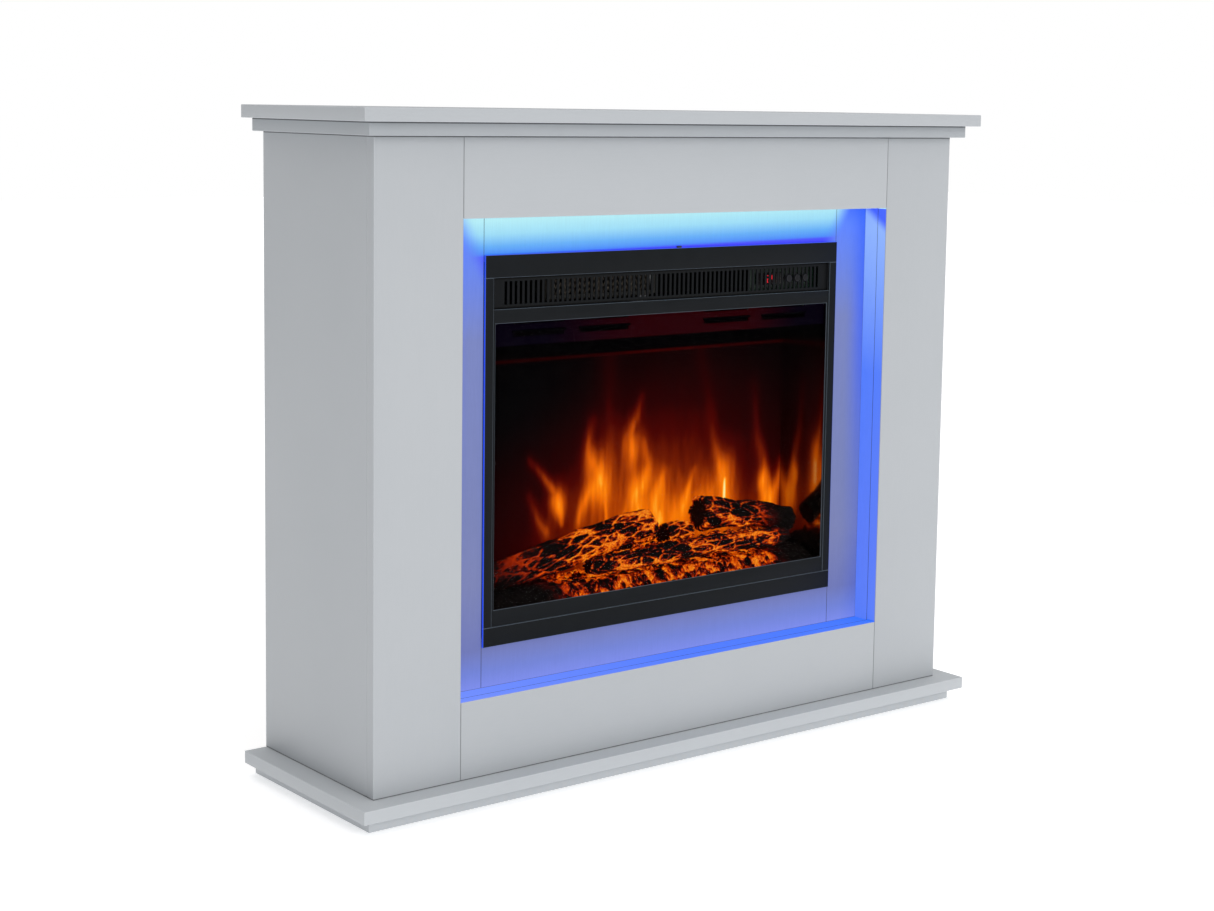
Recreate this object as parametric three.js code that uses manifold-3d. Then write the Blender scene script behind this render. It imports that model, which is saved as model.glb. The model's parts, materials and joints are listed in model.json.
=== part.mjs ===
// Electric fireplace: a white board surround with a lit recess, and a black heater insert
// with a slotted air outlet, a glass window, a log bed and a turning flame spindle.
//
// Millimetres, +Z up. The origin is on the floor at the middle of the footprint, +X runs along
// the width and the front faces -Y. The insert has a group of its own: its origin is at the
// middle of the fascia's lower edge, and its Y is the depth behind the fascia's face.

import * as THREE from "three";
import { mergeVertices } from "three/addons/utils/BufferGeometryUtils.js";
import Module from "manifold-3d";

const wasm = await Module();
wasm.setup();

// ---------------------------------------------------------------- surround, driving sizes
const SHELF_WIDTH = 1000;
const SHELF_DEPTH = 290;
const SHELF_HEIGHT = 840;
const BOARD = 16;
const SHELF_OVERHANG = 30;
const CORNICE_OVERHANG = 15;
const PLINTH_INSET = 15;
const LEG_WIDTH = 122;
const RAIL_HEIGHT = 97;
const RECESS_DEPTH = 40;
const STILE_WIDTH = 56;
const LIGHT_POCKET_HEIGHT = 40;
const INSERT_RISE = 51;
const INSERT_HEADROOM = 47;
const CUTOUT_GAP = 1.5;
const BACK_RAIL_HEIGHT = 80;
const INSERT_SHELF_SETBACK = 45;

// ---------------------------------------------------------------- recess light
const CHANNEL_SIZE = 12;
const CHANNEL_WALL = 1.5;
const CHANNEL_END_GAP = 24;
const CHANNEL_LIFT = 3;
const LED_STRIP_INSET = 0.5;
const DRIVER = { width: 120, depth: 42, height: 24, edge: 24 };

// ---------------------------------------------------------------- insert front
const FASCIA_THICKNESS = 3;
const TOP_BAR = 28;
const BOTTOM_BAR = 24;
const POST_WIDTH = 12.5;
const FRAME_SETBACK = 1;
const FRAME_SIDE = 3.5;
const FRAME_BOTTOM = 21;
const FRAME_TOP = 17.5;
const GRILLE_HEIGHT = 38;
const GRILLE_SETBACK = 4;
const GRILLE_THICKNESS = 1.5;
const SLOT_WIDTH = 4;
const SLOT_PITCH = 7.5;
const SLOT_MARGIN = 4.5;
const GRILLE_MARGIN = 14;
const GLASS_THICKNESS = 4;
const GLASS_EDGE = 4;

// ---------------------------------------------------------------- insert casing
const SHEET = 1.25;
const CASING_DEPTH = 170;
const FLANGE = 11.5;
const FLANGE_END = 10;
const BAY_HEIGHT = 63.5;
const VENT_SLOT = { width: 5, height: 34, pitch: 12, count: 14 };

// ---------------------------------------------------------------- flame box
const SCREEN_DEPTH = 92;
const SCREEN_THICKNESS = 3;
const BAFFLE_DEPTH = 10;
const BAFFLE_HEIGHT = 37.5;
const LOUVRE = { width: 78, height: 5, pitch: 102, rows: [11, 26.5] };
const BED_WALL = 3;
const BED_HEIGHT = 41;
const LOG_SIDES = 12;
const SPINDLE_RADIUS = 16;
const SPINDLE_ROD = 2.5;
const PETAL = { count: 15, turn: 52, gap: 3, endGap: 6, thickness: 1 };
const SPINDLE_HEIGHT = 62;
const SPINDLE_MOTOR_LENGTH = 25;
const BEARING = { fromSide: 20, plate: 4, width: 24, above: 14, foot: 18, footHeight: 2 };
const SHAFT_ENTRY = { deep: 9, engaged: 7 };
const LED_BOARD = { front: 20, back: 70, thickness: 1.5, endGap: 36 };

// ---------------------------------------------------------------- heater and controls
const OUTLET_CENTRE = -105;
const OUTLET_WIDTH = 170;
const OUTLET_HEIGHT = 30;
const WHEEL_BLADES = 16;
const BLADE = { chord: 7, thickness: 1, lean: 35, inset: 4 };
const DISC_THICKNESS = 2;
const DISC_GAP = 3;
const AXLE = 2.5;
const WHEEL_DEPTH = 80;
const GUARD = { depth: 9, thickness: 4, side: 5, rail: 4 };
const ELEMENT = { depth: 20, thickness: 16, bays: 6, bar: 4 };
const MOUTH_DEPTH = 42;
const SCROLL_END = 1.5;
const SCROLL_SWEEP = 130;
const SCROLL_STEPS = 13;
const MOTOR = { gap: 1, length: 36, footWidth: 28, footFrom: 6, footTo: 30 };
const SCROLL_CLEARANCE = 5;
const CUTOUT_SWITCH = { radius: 8, height: 5 };
const BAY_HEADROOM = 3.5;
const CONTROL_BOARD_HEADROOM = 17.5;
const BUTTON_RADIUS = 5;
const BUTTON_FLANGE = 1.5;
const BUTTON_SPACING = 2;
const BUTTON_TRAVEL = 1.2;
const BUTTON_END = 42;
const DISPLAY = { width: 43, height: 16 };
const GLAND = { radius: 7.5, bore: 3.5, flange: 11, inside: 8, nut: 4, tail: 10, fromSide: 58, height: 40 };

// ---------------------------------------------------------------- clearances
const GAP = 0.5;
const RUNNING_GAP = 0.5;

// ---------------------------------------------------------------- materials
const paint = (color, roughness, metalness) => () =>
  new THREE.MeshStandardMaterial({ color, roughness, metalness });
const whiteBoard = paint(0xdfe2e6, 0.55, 0);
const rawBoard = paint(0xb99a72, 0.8, 0);
const blackSteel = paint(0x1b1c1f, 0.45, 0.3);
const innerSteel = paint(0x101012, 0.7, 0.2);
const zincSteel = paint(0xa8acb0, 0.4, 0.9);
const aluminium = paint(0xb9bcc0, 0.35, 0.9);
const blackPlastic = paint(0x16171a, 0.5, 0);
const greenBoard = paint(0x1c5a35, 0.6, 0);
const bark = paint(0x3a2013, 0.9, 0);
const embers = paint(0xc8480c, 0.8, 0);
const mica = paint(0xb7a57f, 0.7, 0);
const diffuser = paint(0xcfe9ff, 0.3, 0);
const tintedGlass = () =>
  new THREE.MeshStandardMaterial({
    color: 0x17181c,
    roughness: 0.05,
    metalness: 0,
    transparent: true,
    opacity: 0.35,
  });

// ---------------------------------------------------------------- building helpers

// Every coordinate is held to 1/64 mm, so faces that are meant to meet do so exactly.
const snap = (value) => Math.round(value * 64) / 64;

// Rotations that permute the axes: a profile drawn in the YZ plane and extruded along X,
// and a plate drawn in the XZ plane whose thickness runs towards -Y.
const YZ_ALONG_X = new THREE.Matrix4().makeBasis(
  new THREE.Vector3(0, 1, 0),
  new THREE.Vector3(0, 0, 1),
  new THREE.Vector3(1, 0, 0),
);
const XZ_PLATE = new THREE.Matrix4().makeBasis(
  new THREE.Vector3(1, 0, 0),
  new THREE.Vector3(0, 0, 1),
  new THREE.Vector3(0, -1, 0),
);
const LATHE_TO_X = new THREE.Matrix4().makeBasis(
  new THREE.Vector3(0, 0, 1),
  new THREE.Vector3(1, 0, 0),
  new THREE.Vector3(0, 1, 0),
);

function place(group, name, geometry, material, x = 0, y = 0, z = 0) {
  const mesh = new THREE.Mesh(geometry, material());
  mesh.name = name;
  mesh.position.set(snap(x), snap(y), snap(z));
  group.add(mesh);
  return mesh;
}

// A rectangular board or sheet between the given limits along each axis.
function board(group, name, xs, ys, zs, material) {
  const [x0, x1] = xs.map(snap);
  const [y0, y1] = ys.map(snap);
  const [z0, z1] = zs.map(snap);
  const mesh = new THREE.Mesh(new THREE.BoxGeometry(x1 - x0, y1 - y0, z1 - z0), material());
  mesh.name = name;
  mesh.position.set((x0 + x1) / 2, (y0 + y1) / 2, (z0 + z1) / 2);
  group.add(mesh);
  return mesh;
}

function boxGeometry(xs, ys, zs) {
  const [x0, x1] = xs.map(snap);
  const [y0, y1] = ys.map(snap);
  const [z0, z1] = zs.map(snap);
  const geometry = new THREE.BoxGeometry(x1 - x0, y1 - y0, z1 - z0);
  return geometry.translate((x0 + x1) / 2, (y0 + y1) / 2, (z0 + z1) / 2);
}

function polygon(points) {
  const corners = points.map(([u, v]) => new THREE.Vector2(snap(u), snap(v)));
  return new THREE.Shape(corners);
}

function rectangle(u0, u1, v0, v1) {
  const corners = [
    [u0, v0],
    [u1, v0],
    [u1, v1],
    [u0, v1],
  ];
  return polygon(corners);
}

// A plate in the XZ plane, from the depth `front` back by `thickness`.
function plate(shape, front, thickness) {
  const flat = new THREE.ExtrudeGeometry(shape, { depth: snap(thickness), bevelEnabled: false });
  return flat.applyMatrix4(XZ_PLATE).translate(0, snap(front) + snap(thickness), 0);
}

// A profile in the YZ plane, extruded along X between the given limits.
function prism(shape, x0, x1) {
  const length = snap(x1) - snap(x0);
  const bar = new THREE.ExtrudeGeometry(shape, { depth: length, bevelEnabled: false });
  return bar.applyMatrix4(YZ_ALONG_X).translate(snap(x0), 0, 0);
}

// A turned piece about the X axis; the profile lists [radius, x] from one end to the other.
function turnedAlongX(profile, sides) {
  const points = profile.map(([radius, along]) => new THREE.Vector2(radius, along));
  return new THREE.LatheGeometry(points, sides).applyMatrix4(LATHE_TO_X);
}

function rodAlongX(radius, x0, x1, sides) {
  return turnedAlongX([[0, x0], [radius, x0], [radius, x1], [0, x1]], sides);
}

// A turned piece about the Y axis; the profile lists [radius, y] from one end to the other.
function turnedAlongY(profile, sides) {
  const points = profile.map(([radius, along]) => new THREE.Vector2(radius, along));
  return new THREE.LatheGeometry(points, sides);
}

// A three.js geometry as a manifold-3d solid, and back again.
function solid(geometry) {
  const bare = geometry.clone();
  bare.deleteAttribute("normal");
  bare.deleteAttribute("uv");
  const merged = mergeVertices(bare, 1e-4);
  const mesh = new wasm.Mesh({
    numProp: 3,
    vertProperties: new Float32Array(merged.attributes.position.array),
    triVerts: new Uint32Array(merged.index.array),
  });
  return new wasm.Manifold(mesh);
}

function geometryOf(manifold) {
  const mesh = manifold.getMesh();
  const geometry = new THREE.BufferGeometry();
  geometry.setAttribute("position", new THREE.BufferAttribute(mesh.vertProperties, 3));
  geometry.setIndex(new THREE.BufferAttribute(mesh.triVerts, 1));
  geometry.computeVertexNormals();
  return geometry;
}

function join(geometries) {
  return geometryOf(geometries.map(solid).reduce((whole, next) => whole.add(next)));
}

function cut(geometry, tools) {
  return geometryOf(tools.map(solid).reduce((whole, tool) => whole.subtract(tool), solid(geometry)));
}

// A sheet in the XZ plane with rectangular holes [x0, x1, z0, z1] and any further cuts.
function pierced(outline, front, thickness, windows, furtherCuts = []) {
  const depth = [front - 1, front + thickness + 1];
  const tools = windows.map(([x0, x1, z0, z1]) => boxGeometry([x0, x1], depth, [z0, z1]));
  return cut(plate(outline, front, thickness), [...tools, ...furtherCuts]);
}

// A round cutter along Y between two depths.
function roundCutter(x, z, radius, depths, sides) {
  const [front, back] = depths;
  return turnedAlongY([[0, front], [radius, front], [radius, back], [0, back]], sides).translate(x, 0, z);
}

// ---------------------------------------------------------------- derived surround sizes
const shelfHalf = SHELF_WIDTH / 2;
const shelfFront = -SHELF_DEPTH / 2;
const backPlane = SHELF_DEPTH / 2;
const bodyHalf = shelfHalf - SHELF_OVERHANG;
const bodyFront = shelfFront + SHELF_OVERHANG;
const corniceHalf = bodyHalf + CORNICE_OVERHANG;
const corniceFront = bodyFront - CORNICE_OVERHANG;
const baseTop = 2 * BOARD;
const bodyTop = SHELF_HEIGHT - 2 * BOARD;
const openingHalf = bodyHalf - LEG_WIDTH;
const openingBottom = baseTop + RAIL_HEIGHT;
const openingTop = bodyTop - RAIL_HEIGHT;
const boardBack = bodyFront + BOARD;
const infillFace = bodyFront + RECESS_DEPTH;
const infillBack = infillFace + BOARD;
const pocketTop = openingTop + LIGHT_POCKET_HEIGHT;
const seamHalf = openingHalf - STILE_WIDTH;
const insertShelfBack = backPlane - INSERT_SHELF_SETBACK;

// ---------------------------------------------------------------- derived insert sizes
const fasciaHalf = seamHalf - GAP;
const insertBottom = openingBottom + INSERT_RISE;
const insertTop = openingTop - INSERT_HEADROOM;
const insertHeight = insertTop - insertBottom;
const fasciaFace = infillFace - FASCIA_THICKNESS;
const frameHalf = fasciaHalf - POST_WIDTH;
const casingHalf = fasciaHalf - FLANGE;
const innerHalf = casingHalf - SHEET;
const casingFloorTop = FLANGE_END + SHEET;
const casingTop = insertHeight - FLANGE_END;
const bayCeiling = casingTop - SHEET;
const bayFloorTop = bayCeiling - BAY_HEIGHT;
const bayMiddle = (bayFloorTop + bayCeiling) / 2;
const casingBackInside = CASING_DEPTH - SHEET;
const grilleTop = insertHeight - TOP_BAR;
const grilleBottom = grilleTop - GRILLE_HEIGHT;
const glassFrameTop = grilleBottom - GAP;
const grilleMiddle = (grilleTop - GAP + grilleBottom) / 2;
const slotHeight = GRILLE_HEIGHT - GAP - 2 * SLOT_MARGIN;

// ---------------------------------------------------------------- surround
function buildSurround() {
  const surround = new THREE.Group();
  const white = (name, xs, ys, zs) => board(surround, name, xs, ys, zs, whiteBoard);
  const raw = (name, xs, ys, zs) => board(surround, name, xs, ys, zs, rawBoard);

  const shelfSpan = [-shelfHalf, shelfHalf];
  const shelfReach = [shelfFront, backPlane];
  const plinthHalf = shelfHalf - PLINTH_INSET;
  white("plinth", [-plinthHalf, plinthHalf], [shelfFront + PLINTH_INSET, backPlane], [0, BOARD]);
  white("base_board", shelfSpan, shelfReach, [BOARD, baseTop]);
  white("cornice_board", [-corniceHalf, corniceHalf], [corniceFront, backPlane], [bodyTop, bodyTop + BOARD]);
  white("shelf_board", shelfSpan, shelfReach, [bodyTop + BOARD, SHELF_HEIGHT]);

  const bodyHeight = [baseTop, bodyTop];
  for (const [side, sign] of [["left", -1], ["right", 1]]) {
    const span = (inner, outer) => (sign > 0 ? [inner, outer] : [-outer, -inner]);
    white(`${side}_side_panel`, span(bodyHalf - BOARD, bodyHalf), [boardBack, backPlane], bodyHeight);
    white(`${side}_leg_board`, span(openingHalf, bodyHalf), [bodyFront, boardBack], bodyHeight);
    const cheek = span(openingHalf, openingHalf + BOARD);
    const stile = span(seamHalf, openingHalf);
    white(`${side}_recess_cheek`, cheek, [boardBack, infillBack], bodyHeight);
    white(`infill_${side}`, stile, [infillFace, infillBack], [openingBottom, pocketTop]);
  }

  const opening = [-openingHalf, openingHalf];
  white("header_board", opening, [bodyFront, boardBack], [openingTop, bodyTop]);
  white("lower_front_board", opening, [bodyFront, boardBack], [baseTop, openingBottom]);
  white("recess_floor", opening, [boardBack, infillBack], [openingBottom - BOARD, openingBottom]);
  white("recess_ceiling", opening, [boardBack, infillBack], [pocketTop, pocketTop + BOARD]);

  const seams = [-seamHalf, seamHalf];
  const cutoutTop = insertTop - FLANGE_END + CUTOUT_GAP;
  const cutoutBottom = insertBottom + FLANGE_END - CUTOUT_GAP;
  white("infill_top", seams, [infillFace, infillBack], [cutoutTop, pocketTop]);
  white("infill_bottom", seams, [infillFace, infillBack], [openingBottom, cutoutBottom]);

  const between = [-(bodyHalf - BOARD), bodyHalf - BOARD];
  const railDepth = [backPlane - BOARD, backPlane];
  raw("rear_top_rail", between, railDepth, [bodyTop - BACK_RAIL_HEIGHT, bodyTop]);
  raw("rear_bottom_rail", between, railDepth, [baseTop, baseTop + BACK_RAIL_HEIGHT]);
  const shelfTop = insertBottom + FLANGE_END;
  raw("insert_shelf", between, [infillBack, insertShelfBack], [shelfTop - BOARD, shelfTop]);
  return surround;
}

// ---------------------------------------------------------------- recess light
// The channel is screwed behind the header's lower edge, with its mouth facing down.
function buildRecessLight() {
  const light = new THREE.Group();
  const half = openingHalf - CHANNEL_END_GAP;
  const low = openingTop + CHANNEL_LIFT;
  const high = low + CHANNEL_SIZE;
  const front = boardBack;
  const back = front + CHANNEL_SIZE;
  const channel = polygon([
    [front, low],
    [front + CHANNEL_WALL, low],
    [front + CHANNEL_WALL, high - CHANNEL_WALL],
    [back - CHANNEL_WALL, high - CHANNEL_WALL],
    [back - CHANNEL_WALL, low],
    [back, low],
    [back, high],
    [front, high],
  ]);
  place(light, "led_channel", prism(channel, -half, half), aluminium);
  const stripHalf = half - LED_STRIP_INSET;
  const stripDepth = [front + CHANNEL_WALL + LED_STRIP_INSET, back - CHANNEL_WALL - LED_STRIP_INSET];
  const stripHeight = [low + LED_STRIP_INSET, high - CHANNEL_WALL];
  board(light, "led_strip", [-stripHalf, stripHalf], stripDepth, stripHeight, diffuser);

  const driverRight = bodyHalf - BOARD - DRIVER.edge;
  const driverBottom = insertBottom + FLANGE_END;
  const driverBack = insertShelfBack - DRIVER.edge;
  board(
    light,
    "led_driver",
    [driverRight - DRIVER.width, driverRight],
    [driverBack - DRIVER.depth, driverBack],
    [driverBottom, driverBottom + DRIVER.height],
    blackPlastic,
  );
  return light;
}

// ---------------------------------------------------------------- insert fascia
function buildFascia() {
  const fascia = new THREE.Group();
  const width = [-fasciaHalf, fasciaHalf];
  const thick = [0, FASCIA_THICKNESS];
  board(fascia, "fascia_top_bar", width, thick, [grilleTop, insertHeight], blackSteel);
  board(fascia, "fascia_bottom_bar", width, thick, [0, BOTTOM_BAR], blackSteel);
  board(fascia, "fascia_left_post", [-fasciaHalf, -frameHalf], thick, [BOTTOM_BAR, grilleTop], blackSteel);
  board(fascia, "fascia_right_post", [frameHalf, fasciaHalf], thick, [BOTTOM_BAR, grilleTop], blackSteel);

  const ring = rectangle(-frameHalf, frameHalf, BOTTOM_BAR, glassFrameTop);
  const windowHalf = frameHalf - FRAME_SIDE;
  ring.holes.push(rectangle(-windowHalf, windowHalf, BOTTOM_BAR + FRAME_BOTTOM, glassFrameTop - FRAME_TOP));
  const frameThickness = FASCIA_THICKNESS - FRAME_SETBACK;
  place(fascia, "glass_frame", plate(ring, FRAME_SETBACK, frameThickness), blackSteel);

  const glassHalf = innerHalf - GAP;
  const glassDepth = [FASCIA_THICKNESS, FASCIA_THICKNESS + GLASS_THICKNESS];
  const glassHeight = [BOTTOM_BAR + GLASS_EDGE, glassFrameTop - GLASS_EDGE];
  board(fascia, "glass_panel", [-glassHalf, glassHalf], glassDepth, glassHeight, tintedGlass);
  place(fascia, "vent_grille", ventGrille(glassHalf), blackPlastic);
  return fascia;
}

// The middles of the three buttons along X, from the left.
function buttonCentres() {
  const pitch = 2 * (BUTTON_RADIUS + BUTTON_FLANGE) + BUTTON_SPACING;
  const last = frameHalf - BUTTON_END;
  return [2, 1, 0].map((step) => last - step * pitch);
}

// The slots run the full width; each button has a round hole cut across them.
function ventGrille(half) {
  const panel = rectangle(-half, half, grilleBottom, grilleTop - GAP);
  const count = Math.floor((2 * (half - GRILLE_MARGIN) - SLOT_WIDTH) / SLOT_PITCH) + 1;
  const first = (-(count - 1) * SLOT_PITCH) / 2;
  const low = grilleMiddle - slotHeight / 2;
  const slots = [];
  for (let i = 0; i < count; i += 1) {
    const left = first + i * SLOT_PITCH - SLOT_WIDTH / 2;
    slots.push([left, left + SLOT_WIDTH, low, low + slotHeight]);
  }
  const depths = [GRILLE_SETBACK - 1, GRILLE_SETBACK + GRILLE_THICKNESS + 1];
  const radius = BUTTON_RADIUS + RUNNING_GAP;
  const bores = buttonCentres().map((x) => roundCutter(x, grilleMiddle, radius, depths, 24));
  return pierced(panel, GRILLE_SETBACK, GRILLE_THICKNESS, slots, bores);
}

// ---------------------------------------------------------------- insert casing
function buildCasing() {
  const casing = new THREE.Group();
  const depth = [FASCIA_THICKNESS, CASING_DEPTH];
  const width = [-casingHalf, casingHalf];
  const inside = [-innerHalf, innerHalf];
  const sideHeight = [casingFloorTop, bayCeiling];
  board(casing, "casing_floor", width, depth, [FLANGE_END, casingFloorTop], innerSteel);
  board(casing, "casing_top", width, depth, [bayCeiling, casingTop], innerSteel);
  board(casing, "casing_left", [-casingHalf, -innerHalf], depth, sideHeight, innerSteel);
  board(casing, "casing_right", [innerHalf, casingHalf], depth, sideHeight, innerSteel);
  const bayFloor = [bayFloorTop - SHEET, bayFloorTop];
  board(casing, "bay_floor", inside, [BAFFLE_DEPTH, casingBackInside], bayFloor, innerSteel);

  const panel = rectangle(-innerHalf, innerHalf, casingFloorTop, bayCeiling);
  const firstVent = OUTLET_CENTRE - ((VENT_SLOT.count - 1) * VENT_SLOT.pitch + VENT_SLOT.width) / 2;
  const ventLow = bayMiddle - VENT_SLOT.height / 2;
  const vents = [];
  for (let i = 0; i < VENT_SLOT.count; i += 1) {
    const left = firstVent + i * VENT_SLOT.pitch;
    vents.push([left, left + VENT_SLOT.width, ventLow, ventLow + VENT_SLOT.height]);
  }
  const glandX = innerHalf - GLAND.fromSide;
  const glandDepths = [casingBackInside - 1, CASING_DEPTH + 1];
  const glandHole = roundCutter(glandX, GLAND.height, GLAND.radius + GAP, glandDepths, 20);
  place(casing, "casing_back", pierced(panel, casingBackInside, SHEET, vents, [glandHole]), innerSteel);

  // A hollow gland: its flange seats on the outside of the back sheet.
  const inner = casingBackInside - GLAND.inside;
  const flangeEnd = CASING_DEPTH + GLAND.nut;
  const outer = flangeEnd + GLAND.tail;
  const gland = [
    [GLAND.bore, inner],
    [GLAND.radius, inner],
    [GLAND.radius, CASING_DEPTH],
    [GLAND.flange, CASING_DEPTH],
    [GLAND.flange, flangeEnd],
    [GLAND.radius, flangeEnd],
    [GLAND.radius - 1, outer],
    [GLAND.bore, outer],
    [GLAND.bore, inner],
  ];
  place(casing, "cable_gland", turnedAlongY(gland, 20), blackPlastic, glandX, 0, GLAND.height);
  return casing;
}

// ---------------------------------------------------------------- flame box

// A log: rings along a straight middle line, each a little out of round, with flat ends.
function logGeometry(start, end, startRadius, endRadius, rings, seed) {
  const positions = [];
  const indices = [];
  const from = new THREE.Vector3(...start);
  const along = new THREE.Vector3(...end).sub(from);
  const side = new THREE.Vector3(-along.y, along.x, 0).normalize();
  const up = new THREE.Vector3().crossVectors(along, side).normalize();
  for (let ring = 0; ring <= rings; ring += 1) {
    const t = ring / rings;
    const radius = startRadius + (endRadius - startRadius) * t;
    for (let i = 0; i < LOG_SIDES; i += 1) {
      const angle = (2 * Math.PI * i) / LOG_SIDES;
      const knot = 0.05 * Math.sin(3 * angle + seed + 5 * t) + 0.03 * Math.sin(7 * angle + 9 * t * seed);
      const reach = radius * (0.94 + knot);
      const point = from.clone().addScaledVector(along, t);
      point.addScaledVector(side, reach * Math.cos(angle));
      point.addScaledVector(up, reach * Math.sin(angle));
      positions.push(point.x, point.y, point.z);
    }
  }
  const startCentre = positions.length / 3;
  positions.push(from.x, from.y, from.z);
  const tip = from.clone().add(along);
  positions.push(tip.x, tip.y, tip.z);
  for (let i = 0; i < LOG_SIDES; i += 1) {
    const next = (i + 1) % LOG_SIDES;
    for (let ring = 0; ring < rings; ring += 1) {
      const a = ring * LOG_SIDES + i;
      const b = ring * LOG_SIDES + next;
      indices.push(a, b, b + LOG_SIDES, a, b + LOG_SIDES, a + LOG_SIDES);
    }
    indices.push(startCentre, next, i);
    indices.push(startCentre + 1, rings * LOG_SIDES + i, rings * LOG_SIDES + next);
  }
  const geometry = new THREE.BufferGeometry();
  geometry.setAttribute("position", new THREE.Float32BufferAttribute(positions, 3));
  geometry.setIndex(indices);
  geometry.computeVertexNormals();
  return geometry;
}

// The logs lie between the glass and the flame screen, on the ember bed.
function buildLogs() {
  const logs = new THREE.Group();
  const backRow = SCREEN_DEPTH - 30;
  const frontRow = 24;
  const bedTop = BED_HEIGHT + 1;
  const leftEnd = -innerHalf + 17;
  const rightEnd = innerHalf - 17;
  const row = (name, start, end, radii, rings, seed) =>
    place(logs, name, logGeometry(start, end, radii[0], radii[1], rings, seed), bark);
  row("log_left", [leftEnd, backRow, bedTop + 22], [18, backRow, bedTop + 68], [19, 24], 9, 1);
  row("log_middle", [31, backRow - 12, bedTop + 54], [88, backRow + 4, bedTop + 50], [16, 14], 4, 2);
  row("log_right", [100, backRow, bedTop + 76], [rightEnd, backRow - 12, bedTop + 50], [23, 17], 7, 3);
  row("log_front", [-115, frontRow, bedTop + 34], [rightEnd - 30, frontRow, bedTop + 36], [12, 13], 10, 4);
  return logs;
}

// A moulded shell, open below: a ridge of embers in front and a lower floor under the logs.
function emberBed() {
  const low = casingFloorTop;
  const front = FASCIA_THICKNESS + GLASS_THICKNESS + GAP + 1;
  const back = SCREEN_DEPTH - 1;
  const ridge = BED_HEIGHT + 15;
  const outside = [
    [front, low],
    [front, BED_HEIGHT - 5],
    [front + 6, BED_HEIGHT + 1],
    [front + 20, ridge],
    [front + 28, ridge - 3],
    [front + 38, BED_HEIGHT],
    [back, BED_HEIGHT],
    [back, low],
  ];
  const inside = [
    [back - BED_WALL, low],
    [back - BED_WALL, BED_HEIGHT - BED_WALL],
    [front + 37, BED_HEIGHT - BED_WALL],
    [front + 27, ridge - 3 - BED_WALL],
    [front + 21, ridge - BED_WALL],
    [front + 8, BED_HEIGHT + 1 - BED_WALL],
    [front + BED_WALL, BED_HEIGHT - 6 - BED_WALL],
    [front + BED_WALL, low],
  ];
  const half = innerHalf - 6;
  return prism(polygon([...outside, ...inside]), -half, half);
}

// A rod with bright petals, each turned on from the last, that throws moving light on the screen.
const spindleDepth = (SCREEN_DEPTH + SCREEN_THICKNESS + casingBackInside) / 2;
const spindleMotorFace = innerHalf - SPINDLE_MOTOR_LENGTH;
const bearingInside = -innerHalf + BEARING.fromSide;

function spindle() {
  const pieces = [rodAlongX(SPINDLE_ROD, bearingInside - 6, spindleMotorFace + SHAFT_ENTRY.engaged, 16)];
  const pitch = (spindleMotorFace - bearingInside - 2 * PETAL.endGap) / PETAL.count;
  const half = (pitch - PETAL.gap) / 2;
  for (let i = 0; i < PETAL.count; i += 1) {
    const middle = bearingInside + PETAL.endGap + pitch * (i + 0.5);
    const across = [-PETAL.thickness / 2, PETAL.thickness / 2];
    const petal = boxGeometry([middle - half, middle + half], across, [-SPINDLE_RADIUS, SPINDLE_RADIUS]);
    pieces.push(petal.rotateX(THREE.MathUtils.degToRad(PETAL.turn * i)));
  }
  return join(pieces);
}

// A turned motor with a blind hole in its face for the piece that it drives.
function motor(face, back, radius, holeRadius) {
  const hole = face + SHAFT_ENTRY.deep;
  const profile = [
    [0, hole],
    [holeRadius, hole],
    [holeRadius, face],
    [radius, face],
    [radius, back],
    [0, back],
  ];
  return turnedAlongX(profile, 28);
}

function buildFlameBox() {
  const box = new THREE.Group();
  const inside = [-innerHalf, innerHalf];
  const baffleTop = bayFloorTop - SHEET;
  const baffle = rectangle(-innerHalf, innerHalf, baffleTop - BAFFLE_HEIGHT, baffleTop);
  const louvres = [];
  for (const column of [-2, -1, 1, 2]) {
    for (const row of LOUVRE.rows) {
      const left = column * LOUVRE.pitch - LOUVRE.width / 2;
      const low = baffleTop - BAFFLE_HEIGHT + row;
      louvres.push([left, left + LOUVRE.width, low, low + LOUVRE.height]);
    }
  }
  place(box, "upper_baffle", pierced(baffle, BAFFLE_DEPTH, SHEET, louvres), innerSteel);
  const screenDepth = [SCREEN_DEPTH, SCREEN_DEPTH + SCREEN_THICKNESS];
  board(box, "flame_screen", inside, screenDepth, [casingFloorTop, baffleTop], tintedGlass);
  place(box, "ember_bed", emberBed(), embers);
  const boardHalf = innerHalf - LED_BOARD.endGap;
  const boardHeight = [casingFloorTop, casingFloorTop + LED_BOARD.thickness];
  const boardDepth = [LED_BOARD.front, LED_BOARD.back];
  board(box, "ember_led_board", [-boardHalf, boardHalf], boardDepth, boardHeight, greenBoard);
  box.add(buildLogs());

  place(box, "flame_spindle", spindle(), aluminium, 0, spindleDepth, SPINDLE_HEIGHT);
  const drive = motor(spindleMotorFace, innerHalf, SPINDLE_RADIUS, SPINDLE_ROD + RUNNING_GAP);
  place(box, "spindle_motor", drive, zincSteel, 0, spindleDepth, SPINDLE_HEIGHT);
  place(box, "spindle_bearing", spindleBearing(), zincSteel, 0, spindleDepth, SPINDLE_HEIGHT);
  return box;
}

// An upright plate with a foot, bored for the end of the spindle's rod.
function spindleBearing() {
  const floor = casingFloorTop - SPINDLE_HEIGHT;
  const across = [-BEARING.width / 2, BEARING.width / 2];
  const outside = bearingInside - BEARING.plate;
  const bracket = join([
    boxGeometry([outside, bearingInside], across, [floor, BEARING.above]),
    boxGeometry([bearingInside - BEARING.foot, bearingInside], across, [floor, floor + BEARING.footHeight]),
  ]);
  return cut(bracket, [rodAlongX(SPINDLE_ROD + RUNNING_GAP, outside - 1, bearingInside + 1, 20)]);
}

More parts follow.
